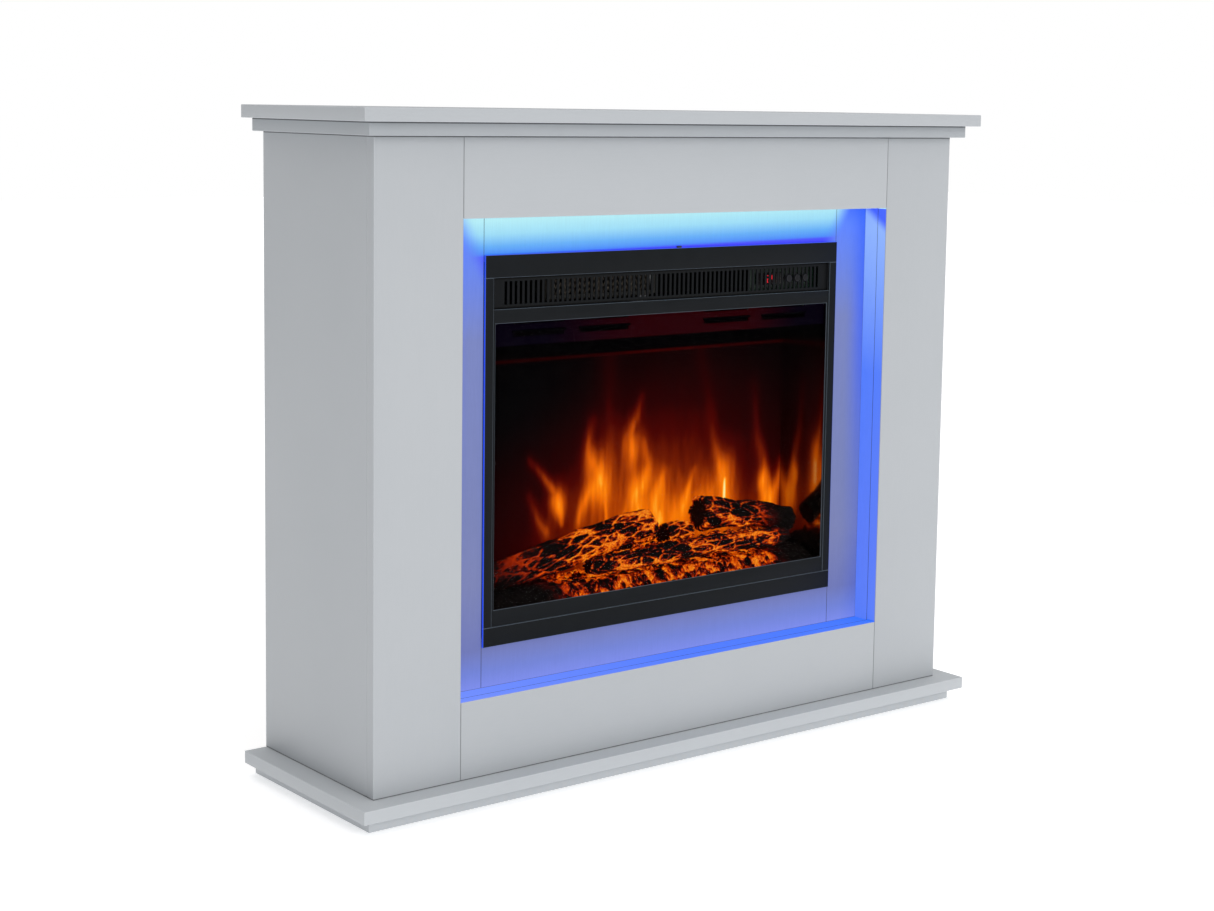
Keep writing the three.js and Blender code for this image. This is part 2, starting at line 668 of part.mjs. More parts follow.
// ---------------------------------------------------------------- heater bay
const outletLeft = OUTLET_CENTRE - OUTLET_WIDTH / 2;
const outletRight = OUTLET_CENTRE + OUTLET_WIDTH / 2;
const blowerMotorFace = outletRight + MOTOR.gap;
const scrollRadius = BAY_HEIGHT / 2 - BAY_HEADROOM - CUTOUT_SWITCH.height - SHEET;
const wheelRadius = scrollRadius - SCROLL_CLEARANCE;
const motorRadius = wheelRadius + 3;

// Two discs on an axle, joined by a ring of flat blades set at an angle to the radius.
function blowerWheel() {
  const left = outletLeft + SCROLL_END + DISC_GAP;
  const right = outletRight - SCROLL_END - DISC_GAP;
  const pieces = [
    rodAlongX(AXLE, outletLeft - DISC_GAP, blowerMotorFace + SHAFT_ENTRY.engaged, 16),
    rodAlongX(wheelRadius, left, left + DISC_THICKNESS, 32),
    rodAlongX(wheelRadius, right - DISC_THICKNESS, right, 32),
  ];
  const halfChord = BLADE.chord / 2;
  const across = [-BLADE.thickness / 2, BLADE.thickness / 2];
  for (let i = 0; i < WHEEL_BLADES; i += 1) {
    const blade = boxGeometry([left + 1, right - 1], across, [-halfChord, halfChord]);
    blade.rotateX(THREE.MathUtils.degToRad(BLADE.lean)).translate(0, 0, wheelRadius - BLADE.inset);
    pieces.push(blade.rotateX((2 * Math.PI * i) / WHEEL_BLADES));
  }
  return join(pieces);
}

// End plates, the guide wall over the top and round the back, and the lip under the mouth.
function blowerScroll() {
  const mouth = MOUTH_DEPTH - WHEEL_DEPTH;
  const reach = scrollRadius + SHEET;
  const arc = (radius) => {
    const points = [];
    for (let i = 0; i <= SCROLL_STEPS; i += 1) {
      const angle = THREE.MathUtils.degToRad(90 - (SCROLL_SWEEP * i) / SCROLL_STEPS);
      points.push([radius * Math.cos(angle), radius * Math.sin(angle)]);
    }
    return points;
  };
  const wall = [[mouth, reach], [mouth, scrollRadius], ...arc(scrollRadius), ...arc(reach).reverse()];
  const lipEnd = -scrollRadius / 4;
  const lip = [[mouth, -reach], [lipEnd, -reach], [lipEnd, -scrollRadius], [mouth, -scrollRadius]];
  const pieces = [wall, lip].map((outline) => prism(polygon(outline), outletLeft, outletRight));
  for (const x of [outletLeft, outletRight - SCROLL_END]) {
    const end = boxGeometry([x, x + SCROLL_END], [mouth, scrollRadius], [-reach, reach]);
    pieces.push(cut(end, [rodAlongX(AXLE + RUNNING_GAP, x - 1, x + SCROLL_END + 1, 20)]));
  }
  return join(pieces);
}

function buildHeater() {
  const heater = new THREE.Group();
  const z = bayMiddle;
  place(heater, "blower_wheel", blowerWheel(), aluminium, 0, WHEEL_DEPTH, z);
  place(heater, "blower_scroll", blowerScroll(), zincSteel, 0, WHEEL_DEPTH, z);

  const motorBody = motor(blowerMotorFace, blowerMotorFace + MOTOR.length, motorRadius, AXLE + RUNNING_GAP);
  const foot = boxGeometry(
    [blowerMotorFace + MOTOR.footFrom, blowerMotorFace + MOTOR.footTo],
    [-MOTOR.footWidth / 2, MOTOR.footWidth / 2],
    [bayFloorTop - z, 1 - motorRadius],
  );
  place(heater, "blower_motor", join([motorBody, foot]), zincSteel, 0, WHEEL_DEPTH, z);

  const low = bayMiddle - OUTLET_HEIGHT / 2;
  const high = bayMiddle + OUTLET_HEIGHT / 2;
  const guard = rectangle(outletLeft, outletRight, low, high);
  const guardHalf = OUTLET_WIDTH / 2 - GUARD.side;
  guard.holes.push(
    rectangle(OUTLET_CENTRE - guardHalf, OUTLET_CENTRE + guardHalf, low + GUARD.rail, high - GUARD.rail),
  );
  place(heater, "heater_guard", plate(guard, GUARD.depth, GUARD.thickness), zincSteel);

  // A mica card frame with cross bars that carry the winding.
  const element = rectangle(outletLeft + 2, outletRight - 2, low - 3, high + 3);
  const bayWidth = (OUTLET_WIDTH - 3 * ELEMENT.bar) / ELEMENT.bays;
  const windows = [];
  for (let i = 0; i < ELEMENT.bays; i += 1) {
    const left = outletLeft + 2 * ELEMENT.bar + i * bayWidth;
    windows.push([left, left + bayWidth - ELEMENT.bar, low + 2, high - 2]);
  }
  place(heater, "heater_element", pierced(element, ELEMENT.depth, ELEMENT.thickness, windows), mica);

  const cutoutFoot = z + scrollRadius + SHEET;
  const { radius, height } = CUTOUT_SWITCH;
  const disc = new THREE.CylinderGeometry(radius, radius, height, 20).rotateX(Math.PI / 2);
  const discMiddle = cutoutFoot + height / 2;
  place(heater, "thermal_cutout", disc, blackPlastic, OUTLET_CENTRE, WHEEL_DEPTH - 20, discMiddle);
  return heater;
}

// ---------------------------------------------------------------- controls
function buildControls() {
  const controls = new THREE.Group();
  const centres = buttonCentres();
  const grilleBack = GRILLE_SETBACK + GRILLE_THICKNESS;
  const flangeFront = grilleBack + GAP;
  const stemEnd = flangeFront + 7;
  const boardFront = stemEnd + BUTTON_TRAVEL + 0.8;
  const right = innerHalf - 8;
  const displayRight = centres[0] - BUTTON_RADIUS - 3;
  const displayLeft = displayRight - DISPLAY.width;
  const half = DISPLAY.height / 2;
  board(
    controls,
    "control_board",
    [displayLeft - 10, right],
    [boardFront, boardFront + 1.5],
    [bayFloorTop, bayCeiling - CONTROL_BOARD_HEADROOM],
    greenBoard,
  );
  board(
    controls,
    "display_module",
    [displayLeft, displayRight],
    [grilleBack + 2, boardFront],
    [grilleMiddle - half, grilleMiddle + half],
    blackPlastic,
  );
  const cap = [
    [0, GRILLE_SETBACK - 1.5],
    [BUTTON_RADIUS - 0.75, GRILLE_SETBACK - 1.5],
    [BUTTON_RADIUS, GRILLE_SETBACK - 0.75],
    [BUTTON_RADIUS, flangeFront],
    [BUTTON_RADIUS + BUTTON_FLANGE, flangeFront],
    [BUTTON_RADIUS + BUTTON_FLANGE, flangeFront + 1.5],
    [2.5, flangeFront + 1.5],
    [2.5, stemEnd],
    [0, stemEnd],
  ];
  ["power_button", "heat_button", "flame_button"].forEach((name, i) => {
    place(controls, name, turnedAlongY(cap, 24), blackPlastic, centres[i], 0, grilleMiddle);
  });
  return controls;
}

// ---------------------------------------------------------------- assembly
const insert = new THREE.Group();
insert.position.set(0, snap(fasciaFace), snap(insertBottom));
insert.add(buildFascia(), buildCasing(), buildFlameBox(), buildHeater(), buildControls());

const fireplace = new THREE.Group();
fireplace.add(buildSurround(), buildRecessLight(), insert);

export default fireplace;
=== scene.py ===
import json
import math

import bmesh
import bpy
import numpy as np
from mathutils import Matrix, Vector, noise

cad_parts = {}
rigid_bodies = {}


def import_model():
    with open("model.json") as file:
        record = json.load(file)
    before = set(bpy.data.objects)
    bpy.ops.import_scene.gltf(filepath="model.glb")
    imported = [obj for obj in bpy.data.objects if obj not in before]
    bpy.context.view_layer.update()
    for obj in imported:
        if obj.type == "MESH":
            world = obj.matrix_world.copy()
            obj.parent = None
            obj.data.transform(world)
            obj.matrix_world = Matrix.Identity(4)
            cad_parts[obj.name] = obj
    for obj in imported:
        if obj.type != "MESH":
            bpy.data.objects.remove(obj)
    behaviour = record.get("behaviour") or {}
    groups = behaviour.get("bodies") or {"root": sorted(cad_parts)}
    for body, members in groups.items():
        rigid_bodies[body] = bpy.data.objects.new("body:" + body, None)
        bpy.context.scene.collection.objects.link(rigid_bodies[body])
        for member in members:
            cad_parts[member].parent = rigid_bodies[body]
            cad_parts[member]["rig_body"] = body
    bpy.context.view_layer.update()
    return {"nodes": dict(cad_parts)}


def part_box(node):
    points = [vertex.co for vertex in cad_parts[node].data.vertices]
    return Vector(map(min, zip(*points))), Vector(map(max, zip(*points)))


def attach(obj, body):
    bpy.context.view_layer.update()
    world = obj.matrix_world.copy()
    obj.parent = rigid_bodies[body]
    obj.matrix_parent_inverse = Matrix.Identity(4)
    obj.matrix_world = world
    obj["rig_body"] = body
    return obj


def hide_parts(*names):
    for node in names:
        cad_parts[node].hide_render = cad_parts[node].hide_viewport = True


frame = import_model()

MM = 0.001

# The camera, fitted to the corners of the boards: where it stands, how it is turned, its lens.
CAMERA_PLACE = (-1.7243, -2.1816, 0.8493)
CAMERA_YAW = -38.781
CAMERA_PITCH = 6.534
CAMERA_ROLL = 0.927
CAMERA_LENS = 62.62
CAMERA_SHIFT = (-0.0362, -0.0910)
SENSOR = 36.0

# Shading: bevel steps are 30 degrees and stay flat, facets of round parts are finer and blend.
SMOOTH_BELOW = math.radians(20)
EASE_ABOVE = math.radians(35)
EASE_STEPS = 3


def tone(red, green, blue):
    """A display colour, 0 to 255 a channel, as the linear colour that shaders take."""
    def linear(value):
        value = value / 255
        return value / 12.92 if value <= 0.04045 else ((value + 0.055) / 1.055) ** 2.4
    return (linear(red), linear(green), linear(blue))


def scaled(colour, factor):
    return tuple(channel * factor for channel in colour)


def low(node):
    """The corner of a CAD node's box that has its least x, y and z."""
    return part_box(node)[0]


def high(node):
    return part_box(node)[1]


# ================================================================== node material helpers
SOCKETS = {
    "base": "Base Color", "rough": "Roughness", "specular": "Specular IOR Level", "normal": "Normal",
    "glow": "Emission Color", "strength": "Emission Strength", "metallic": "Metallic", "alpha": "Alpha",
}


class Shade:
    """One material's or world's node tree, with a short call for each kind of node it needs."""

    def __init__(self, name, kind=bpy.data.materials, output="ShaderNodeOutputMaterial"):
        self.material = kind.new(name)
        self.material.use_nodes = True
        self.tree = self.material.node_tree
        self.tree.nodes.clear()
        self.output = self.tree.nodes.new(output)

    def node(self, kind, **settings):
        made = self.tree.nodes.new(kind)
        for key, value in settings.items():
            setattr(made, key, value)
        return made

    def feed(self, socket, value):
        if isinstance(value, bpy.types.NodeSocket):
            self.tree.links.new(value, socket)
        elif socket.type == "RGBA":
            socket.default_value = (*value[:3], 1.0)
        else:
            socket.default_value = value

    def place(self, scale=(1, 1, 1)):
        """The position on the object in metres, stretched by scale."""
        mapping = self.node("ShaderNodeMapping")
        mapping.inputs["Scale"].default_value = scale
        self.feed(mapping.inputs["Vector"], self.node("ShaderNodeTexCoord").outputs["Object"])
        return mapping.outputs["Vector"]

    def axes(self):
        split = self.node("ShaderNodeSeparateXYZ")
        self.feed(split.inputs[0], self.node("ShaderNodeTexCoord").outputs["Object"])
        return split.outputs[0], split.outputs[1], split.outputs[2]

    def attribute(self, name):
        return self.node("ShaderNodeAttribute", attribute_name=name).outputs["Fac"]

    def noise(self, vector, scale, detail=4.0, roughness=0.55):
        made = self.node("ShaderNodeTexNoise")
        self.feed(made.inputs["Vector"], vector)
        made.inputs["Scale"].default_value = scale
        made.inputs["Detail"].default_value = detail
        made.inputs["Roughness"].default_value = roughness
        return made.outputs["Fac"]

    def cells(self, vector, scale, feature="F1"):
        made = self.node("ShaderNodeTexVoronoi", feature=feature)
        self.feed(made.inputs["Vector"], vector)
        made.inputs["Scale"].default_value = scale
        return made.outputs["Distance"]

    def math(self, operation, first, second=0.0, third=0.0, clamp=False):
        made = self.node("ShaderNodeMath", operation=operation, use_clamp=clamp)
        for socket, value in zip(made.inputs, (first, second, third)):
            self.feed(socket, value)
        return made.outputs[0]

    def times(self, first, second, clamp=False):
        return self.math("MULTIPLY", first, second, clamp=clamp)

    def plus(self, first, second):
        return self.math("ADD", first, second)

    def minus(self, first, second):
        return self.math("SUBTRACT", first, second)

    def most(self, first, second):
        return self.math("MAXIMUM", first, second)

    def size(self, value):
        return self.math("ABSOLUTE", value)

    def span(self, value, start, end, before=0.0, after=1.0, smooth=True):
        """One level before start, another after end, and a smooth or straight change between."""
        made = self.node("ShaderNodeMapRange")
        made.interpolation_type = "SMOOTHSTEP" if smooth else "LINEAR"
        for socket, number in zip(made.inputs, (value, start, end, before, after)):
            self.feed(socket, number)
        return made.outputs[0]

    def until(self, value, start, end):
        """1 before start, 0 after end."""
        return self.span(value, start, end, 1.0, 0.0)

    def grain(self, value, first, second):
        """A roughness or level that follows a noise, from one number to another."""
        return self.span(value, 0.3, 0.7, first, second)

    def ramp(self, value, stops):
        """A colour from a value, through (value, colour) stops between 0 and 1."""
        made = self.node("ShaderNodeValToRGB")
        elements = made.color_ramp.elements
        elements[0].position, elements[-1].position = stops[0][0], stops[-1][0]
        for position, colour in stops[1:-1]:
            elements.new(position)
        for element, (position, colour) in zip(elements, stops):
            element.color = (*colour, 1.0)
        self.feed(made.inputs[0], value)
        return made.outputs["Color"]

    def along(self, value, stops):
        """A colour from a length in metres, through (length, colour) stops in rising order."""
        start, end = stops[0][0], stops[-1][0]
        share = self.span(value, start, end, smooth=False)
        return self.ramp(share, [((at - start) / (end - start), colour) for at, colour in stops])

    def mix(self, factor, first, second):
        made = self.node("ShaderNodeMix", data_type="RGBA")
        self.feed(made.inputs[0], factor)
        self.feed(made.inputs[6], first)
        self.feed(made.inputs[7], second)
        return made.outputs[2]

    def dimmed(self, colour, factor):
        made = self.node("ShaderNodeVectorMath", operation="SCALE")
        self.feed(made.inputs[0], colour)
        self.feed(made.inputs["Scale"], factor)
        return made.outputs[0]

    def bump(self, height, strength, distance):
        made = self.node("ShaderNodeBump")
        made.inputs["Strength"].default_value = strength
        made.inputs["Distance"].default_value = distance
        self.feed(made.inputs["Height"], height)
        return made.outputs["Normal"]

    def finish(self, **looks):
        """Joins everything to one Principled shader; SOCKETS gives the names."""
        shader = self.node("ShaderNodeBsdfPrincipled")
        for name, value in looks.items():
            self.feed(shader.inputs[SOCKETS[name]], value)
        self.feed(self.output.inputs["Surface"], shader.outputs[0])
        return self.material


# ================================================================== board materials
# The opening in the front boards: its half width, its lower and upper edges, and its front.
OPENING = low("right_leg_board").x
SILL = high("lower_front_board").z
HEAD = low("header_board").z
FRONT = low("header_board").y
INFILL = low("infill_top").y

# How much lighter a board's edges are, a painted highlight; how dark the painted shadow at a joint is,
# how strong the upright ones on the front are, how wide a joint is. Then the soft edge of a mask that
# picks out a face, and how far that mask reaches off the face, and off one whose corners are eased.
EDGE_HIGHLIGHT = 1.06
JOINT_SHADE = 0.35
FRONT_JOINT = 0.45
LINE_WIDTH = 1.5 * MM
FEATHER = 0.5 * MM
CLOSE = 1.1 * MM
WIDE = 1.6 * MM

GRAIN = {"x": (0.04, 1.0, 1.0), "y": (1.0, 0.04, 1.0), "z": (1.0, 1.0, 0.04)}


def paint_grain(shade, axis):
    """Fine streaks of paint along a board, over a soft mottle."""
    streaks = shade.noise(shade.place(GRAIN[axis]), 1100.0, detail=2.0)
    mottle = shade.noise(shade.place(), 90.0, detail=3.0)
    return shade.plus(shade.times(streaks, 0.7), shade.times(mottle, 0.3))


def white_board(name, axis, tones, lines=None, wash=None):
    """Painted board. lines gives the painted shadow at its joints with its neighbours, wash the strip's light
    painted on it.
    """
    shade = Shade("white_board_" + name)
    grain = paint_grain(shade, axis)
    cloud = shade.noise(shade.place(), 5.0, detail=2.0)
    dark, light = tones
    colour = shade.ramp(shade.mix(0.5, grain, cloud), [(0.35, dark), (0.65, light)])
    # The eased edges a little lighter: a painted highlight.
    colour = shade.mix(shade.attribute("edge"), colour, scaled(light, EDGE_HIGHLIGHT))
    if lines:
        # Darker lines at the joints: painted shadow in the gaps between boards.
        colour = shade.mix(lines(shade, *shade.axes()), colour, scaled(dark, JOINT_SHADE))
    looks = dict(
        base=colour,
        rough=shade.grain(grain, 0.48, 0.62),
        specular=0.3,
        normal=shade.bump(grain, 0.12, 0.0005),
    )
    if wash:
        light, reach = wash(shade, *shade.axes())
        # Where the strip's light is painted, the board's colour turns dark: a painted shade.
        looks.update(base=shade.mix(reach, colour, SHADED_RECESS_HIGH), strength=1.0)
        looks.update(glow=shade.mix(reach, (0.0, 0.0, 0.0), light))
    return shade.finish(**looks)


def near(shade, value, face, reach=CLOSE):
    """1 where a coordinate is close to a face's, 0 from reach on, in metres."""
    return shade.until(shade.size(shade.minus(value, face)), reach - FEATHER, reach)


def line_under(shade, z, joint):
    """A thin painted shadow on an upright face, just under a joint."""
    below = shade.span(z, joint - LINE_WIDTH * 1.4, joint - LINE_WIDTH)
    return shade.times(below, shade.until(z, joint - 0.0001, joint))


def cornice_lines(shade, x, y, z):
    return line_under(shade, z, low("shelf_board").z)


def plinth_lines(shade, x, y, z):
    return line_under(shade, z, low("base_board").z)


def side_lines(shade, x, y, z):
    foot = high("base_board").z
    over_base = shade.until(z, foot + LINE_WIDTH * 0.7, foot + LINE_WIDTH)
    return shade.most(line_under(shade, z, low("cornice_board").z), over_base)


def front_lines(shade, x, y, z):
    joint = shade.times(near(shade, shade.size(x), high("header_board").x), near(shade, y, FRONT))
    return shade.most(side_lines(shade, x, y, z), shade.times(joint, FRONT_JOINT))


def front_wash(shade, x, y, z):
    """The strip's light, painted as glow on the edges of the opening in the front boards, and where it falls.
    """
    across = shade.size(x)
    cheek = near(shade, across, OPENING, WIDE)
    cheek = shade.times(cheek, shade.span(z, SILL - 0.0008, SILL))
    cheek = shade.times(cheek, shade.until(z, HEAD, HEAD + 0.0008))
    inside = shade.span(y, FRONT, FRONT + 0.0012)
    inside = shade.times(inside, shade.until(across, OPENING + 0.0004, OPENING + 0.0008))
    foot, head = near(shade, z, SILL, WIDE), near(shade, z, HEAD, WIDE)
    light = shade.mix(foot, wash_cheek(shade, x, y, z), wash_floor(shade, x, y, z))
    light = shade.mix(head, light, wash_ceiling(shade, x, y, z))
    return light, shade.times(shade.most(cheek, shade.most(foot, head)), inside)


BOARD_TONES = ((0.440, 0.462, 0.484), (0.460, 0.480, 0.502))
# The cornice's tones, darker than the other boards': painted shade under the shelf.
SHADED_CORNICE_TONES = ((0.375, 0.398, 0.420), (0.392, 0.414, 0.436))
BASE_TONES = ((0.475, 0.498, 0.520), (0.496, 0.518, 0.540))
# The base colour of board faces washed by the strip: far darker than the white boards, a painted shade of the
# recess.
SHADED_RECESS_LOW = (0.060, 0.064, 0.072)
SHADED_RECESS_HIGH = (0.070, 0.074, 0.082)
ROOM_SHARE = (0.070, 0.075, 0.080)


def lit(red, green, blue):
    """What the strip adds to a board that the room's light alone leaves at ROOM_SHARE."""
    return tuple(max(value - share, 0.0) for value, share in zip(tone(red, green, blue), ROOM_SHARE))


def recess_board(name, axis, wash, lit_face):
    """White board in painted shade, with the strip's blue painted on its lit face as light; wash gives the
    light's colour.
    """
    shade = Shade("recess_board_" + name)
    grain = paint_grain(shade, axis)
    face = lit_face(shade, *shade.axes())
    edge = shade.span(shade.attribute("edge"), 0.0, 1.0, 1.0, 0.25)
    level = shade.times(shade.times(shade.grain(grain, 0.97, 1.02), edge), face)
    light = shade.dimmed(wash(shade, *shade.axes()), level)
    plain = shade.ramp(grain, [(0.3, BOARD_TONES[0]), (0.7, BOARD_TONES[1])])
    return shade.finish(
        base=shade.mix(face, plain, shade.ramp(grain, [(0.3, SHADED_RECESS_LOW), (0.7, SHADED_RECESS_HIGH)])),
        rough=shade.grain(grain, 0.50, 0.64),
        specular=0.25,
        normal=shade.bump(grain, 0.10, 0.0005),
        glow=light,
        strength=1.0,
    )


# The height on the wall under which the strip's own light spreads out.
STRIP_LEVEL = 0.711


def wash_infill(shade, x, y, z):
    """The strip's light painted on the wall round the insert: cyan white under the strip, lilac down the
    sides.
    """
    tilted = shade.minus(z, shade.plus(shade.times(x, 0.0135), 0.001))
    under_strip = shade.along(tilted, [
        (0.650, lit(10, 60, 250)), (0.6645, lit(16, 70, 250)), (0.668, lit(72, 142, 246)),
        (0.677, lit(100, 174, 244)), (0.692, lit(158, 220, 244)), (0.708, lit(184, 238, 246)),
        (0.751, lit(214, 246, 248)),
    ])
    beside = shade.along(z, [
        (0.129, lit(134, 148, 234)), (0.150, lit(118, 134, 212)), (0.178, lit(112, 121, 180)),
        (0.260, lit(122, 130, 178)), (0.350, lit(120, 130, 180)), (0.560, lit(120, 132, 190)),
        (0.640, lit(104, 132, 232)), (0.690, lit(94, 132, 255)), (0.751, lit(80, 104, 255)),
    ])
    corner = shade.times(shade.span(shade.size(x), 0.312, OPENING), shade.span(z, 0.25, 0.62, 0.15, 0.75))
    beside = shade.mix(corner, beside, lit(78, 112, 250))
    drop = shade.minus(STRIP_LEVEL, z)
    reach = shade.plus(shade.size(x), shade.times(drop, 0.55))
    reach = shade.plus(reach, shade.times(x, 0.035))
    outside = shade.most(shade.span(reach, 0.298, 0.334), shade.span(drop, 0.05, 0.12))
    return shade.mix(outside, under_strip, beside)


def wash_cheek(shade, x, y, z):
    """The strip's light painted on the recess's side walls: brightest a little below the strip, with a deep
    blue corner beside it.
    """
    wall = shade.along(z, [
        (0.129, lit(108, 138, 250)), (0.250, lit(106, 135, 250)), (0.480, lit(100, 136, 254)),
        (0.620, lit(140, 174, 255)), (0.682, lit(152, 186, 255)), (0.751, lit(140, 172, 255)),
    ])
    height = shade.minus(z, shade.times(shade.plus(y, 0.115), 0.70))
    # The deep blue corner beside the strip: a painted shade in the strip's painted light.
    return shade.mix(shade.span(height, 0.672, 0.692), wall, lit(88, 110, 255))


def wash_floor(shade, x, y, z):
    """The strip's light painted on the recess's floor, a little deeper in blue towards the right."""
    return shade.along(x, [
        (-0.348, lit(124, 150, 255)), (0.0, lit(96, 133, 255)), (0.348, lit(82, 127, 255)),
    ])


def wash_ceiling(shade, x, y, z):
    return shade.mix(shade.span(y, -0.099, -0.059), lit(190, 236, 250), lit(150, 205, 250))


def infill_face(shade, x, y, z):
    return near(shade, y, INFILL)


def before_infill(shade, y, face):
    """The part of a face that lies in front of the infill boards."""
    return shade.times(face, shade.until(y, INFILL, INFILL + 0.0004))


def cheek_face(shade, x, y, z):
    sill, ceiling = high("recess_floor").z, low("recess_ceiling").z
    face = near(shade, shade.size(x), low("right_recess_cheek").x, WIDE)
    face = shade.times(face, shade.span(z, sill - 0.0004, sill))
    face = shade.times(face, shade.until(z, ceiling, ceiling + 0.0004))
    return before_infill(shade, y, face)


def floor_face(shade, x, y, z):
    return before_infill(shade, y, near(shade, z, high("recess_floor").z, WIDE))


def ceiling_face(shade, x, y, z):
    return before_infill(shade, y, near(shade, z, low("recess_ceiling").z))


def raw_board():
    """Bare fibreboard."""
    shade = Shade("raw_board")
    fibres = shade.noise(shade.place((0.3, 1.0, 1.0)), 700.0, detail=6.0, roughness=0.7)
    tones = [(0.3, (0.22, 0.145, 0.085)), (0.55, (0.36, 0.25, 0.155)), (0.8, (0.46, 0.34, 0.22))]
    return shade.finish(
        base=shade.ramp(fibres, tones),
        rough=shade.grain(fibres, 0.75, 0.92),
        specular=0.2,
        normal=shade.bump(fibres, 0.25, 0.0006),
    )


# ================================================================== insert materials
def coated(name, dark, light, rough, specular, edge_highlight=1.6, over=None):
    """A coated or moulded surface: a fine grit in colour, roughness and height, and a painted highlight on
    its eased edges.
    over may add looks to it: a function of the node helper and the base colour."""
    shade = Shade(name)
    texture = shade.noise(shade.place(), 1600.0, detail=3.0)
    cloud = shade.noise(shade.place(), 35.0, detail=2.0)
    blend = shade.plus(shade.times(texture, 0.6), shade.times(cloud, 0.4))
    base = shade.ramp(blend, [(0.35, dark), (0.65, light)])
    looks = dict(
        # The eased edges made lighter: a painted highlight.
        base=shade.mix(shade.attribute("edge"), base, scaled(light, edge_highlight)),
        rough=shade.grain(blend, rough - 0.06, rough + 0.06),
        specular=specular,
        normal=shade.bump(texture, 0.10, 0.0003),
    )
    if over:
        looks.update(over(shade, looks["base"]))
    return shade.finish(**looks)


def strip_glow(shade, base):
    """The strip's blue light, painted as glow on the fascia's outer sides and top."""
    x, y, z = shade.axes()
    side = shade.span(shade.size(x), FASCIA_SIDE - 0.0006, FASCIA_SIDE - 0.0002)
    top = shade.span(z, FASCIA_TOP - 0.0006, FASCIA_TOP - 0.0002)
    blue = [(0.0, (0, 0, 0)), (1.0, (0.006, 0.055, 0.80))]
    return dict(glow=shade.ramp(shade.most(side, top), blue), strength=1.0)


FASCIA_SIDE = high("fascia_right_post").x
FASCIA_TOP = high("fascia_top_bar").z


def grille_gap_shadows(shade, base):
    """Painted shadow, nearly black, in the gap under the fascia's top bar and in the one over the window's
    frame.
    """
    x, y, z = shade.axes()
    bottom, top = low("vent_grille").z, high("vent_grille").z
    over = shade.span(z, top - GRILLE_GAP, top - GRILLE_GAP * 0.7)
    under = shade.until(z, bottom + GRILLE_GAP * 0.7, bottom + GRILLE_GAP)
    return dict(base=shade.mix(shade.most(over, under), base, (0.0004, 0.0004, 0.0005)))


GRILLE_GAP = 2.2 * MM
FASCIA_TONES = (0.0040, 0.0052, 0.0064), (0.0062, 0.0076, 0.0092)
GRILLE_TONES = (0.0026, 0.0032, 0.0040), (0.0042, 0.0050, 0.0060)


def brushed_metal(name, dark, light, rough, axis="x"):
    shade = Shade(name)
    lines = shade.noise(shade.place(GRAIN[axis]), 1500.0, detail=3.0)
    spangle = shade.cells(shade.place(), 160.0)
    blend = shade.plus(shade.times(lines, 0.6), shade.times(spangle, 0.4))
    return shade.finish(
        base=shade.ramp(blend, [(0.25, dark), (0.65, light)]),
        metallic=1.0,
        rough=shade.span(blend, 0.2, 0.7, rough - 0.08, rough + 0.08),
        normal=shade.bump(lines, 0.08, 0.0002),
    )


def casing_side():
    """The casing's two sides: satin black, with a gloss lining where they face the fire."""
    shade = Shade("casing_side")
    grit = shade.noise(shade.place(), 1300.0, detail=3.0)
    x, y, z = shade.axes()
    inside = shade.until(shade.size(x), LINING_FACE, LINING_FACE + 0.0002)
    lining = shade.times(inside, shade.until(z, FIRE_TOP - 0.001, FIRE_TOP))
    outer = shade.ramp(grit, [(0.3, (0.010, 0.010, 0.011)), (0.7, (0.016, 0.016, 0.018))])
    gloss = shade.ramp(grit, [(0.3, (0.42, 0.33, 0.26)), (0.7, (0.47, 0.38, 0.31))])
    return shade.finish(
        base=shade.mix(lining, outer, gloss),
        metallic=lining,
        rough=shade.span(lining, 0.0, 1.0, 0.42, 0.10),
        specular=0.3,
        normal=shade.bump(grit, 0.04, 0.0002),
    )


LINING_FACE = low("casing_right").x + 0.0003
FIRE_TOP = low("bay_floor").z


def window_glass():
    shade = Shade("window_glass")
    smear = shade.noise(shade.place((1.0, 1.0, 0.4)), 22.0, detail=3.0)
    return shade.finish(
        base=(0.004, 0.004, 0.005),
        rough=shade.grain(smear, 0.02, 0.06),
        specular=0.5,
        alpha=shade.grain(smear, 0.008, 0.014),
    )


def light_diffuser():
    """The light strip: a row of bright chips under a milky cover."""
    shade = Shade("light_diffuser")
    x, y, z = shade.axes()
    place = shade.math("FRACT", shade.times(x, 1 / CHIP_PITCH))
    chip = shade.size(shade.minus(place, 0.5))
    glow = shade.span(chip, 0.12, 0.34, 1.0, 0.35)
    return shade.finish(
        base=(0.75, 0.80, 0.85),
        rough=0.45,
        glow=shade.mix(glow, (0.05, 0.22, 1.0), (0.35, 0.75, 1.0)),
        strength=1.5,
    )


CHIP_PITCH = 0.0167

FIRE_STOPS = [
    (0.00, (0.0, 0.0, 0.0)), (0.12, (0.020, 0.0, 0.0)), (0.20, (0.062, 0.0008, 0.0)),
    (0.30, (0.155, 0.0098, 0.0002)), (0.45, (0.44, 0.054, 0.0006)), (0.62, (0.82, 0.145, 0.001)),
    (0.78, (0.98, 0.23, 0.002)), (0.92, (1.0, 0.46, 0.03)), (1.00, (1.0, 0.86, 0.34)),
]


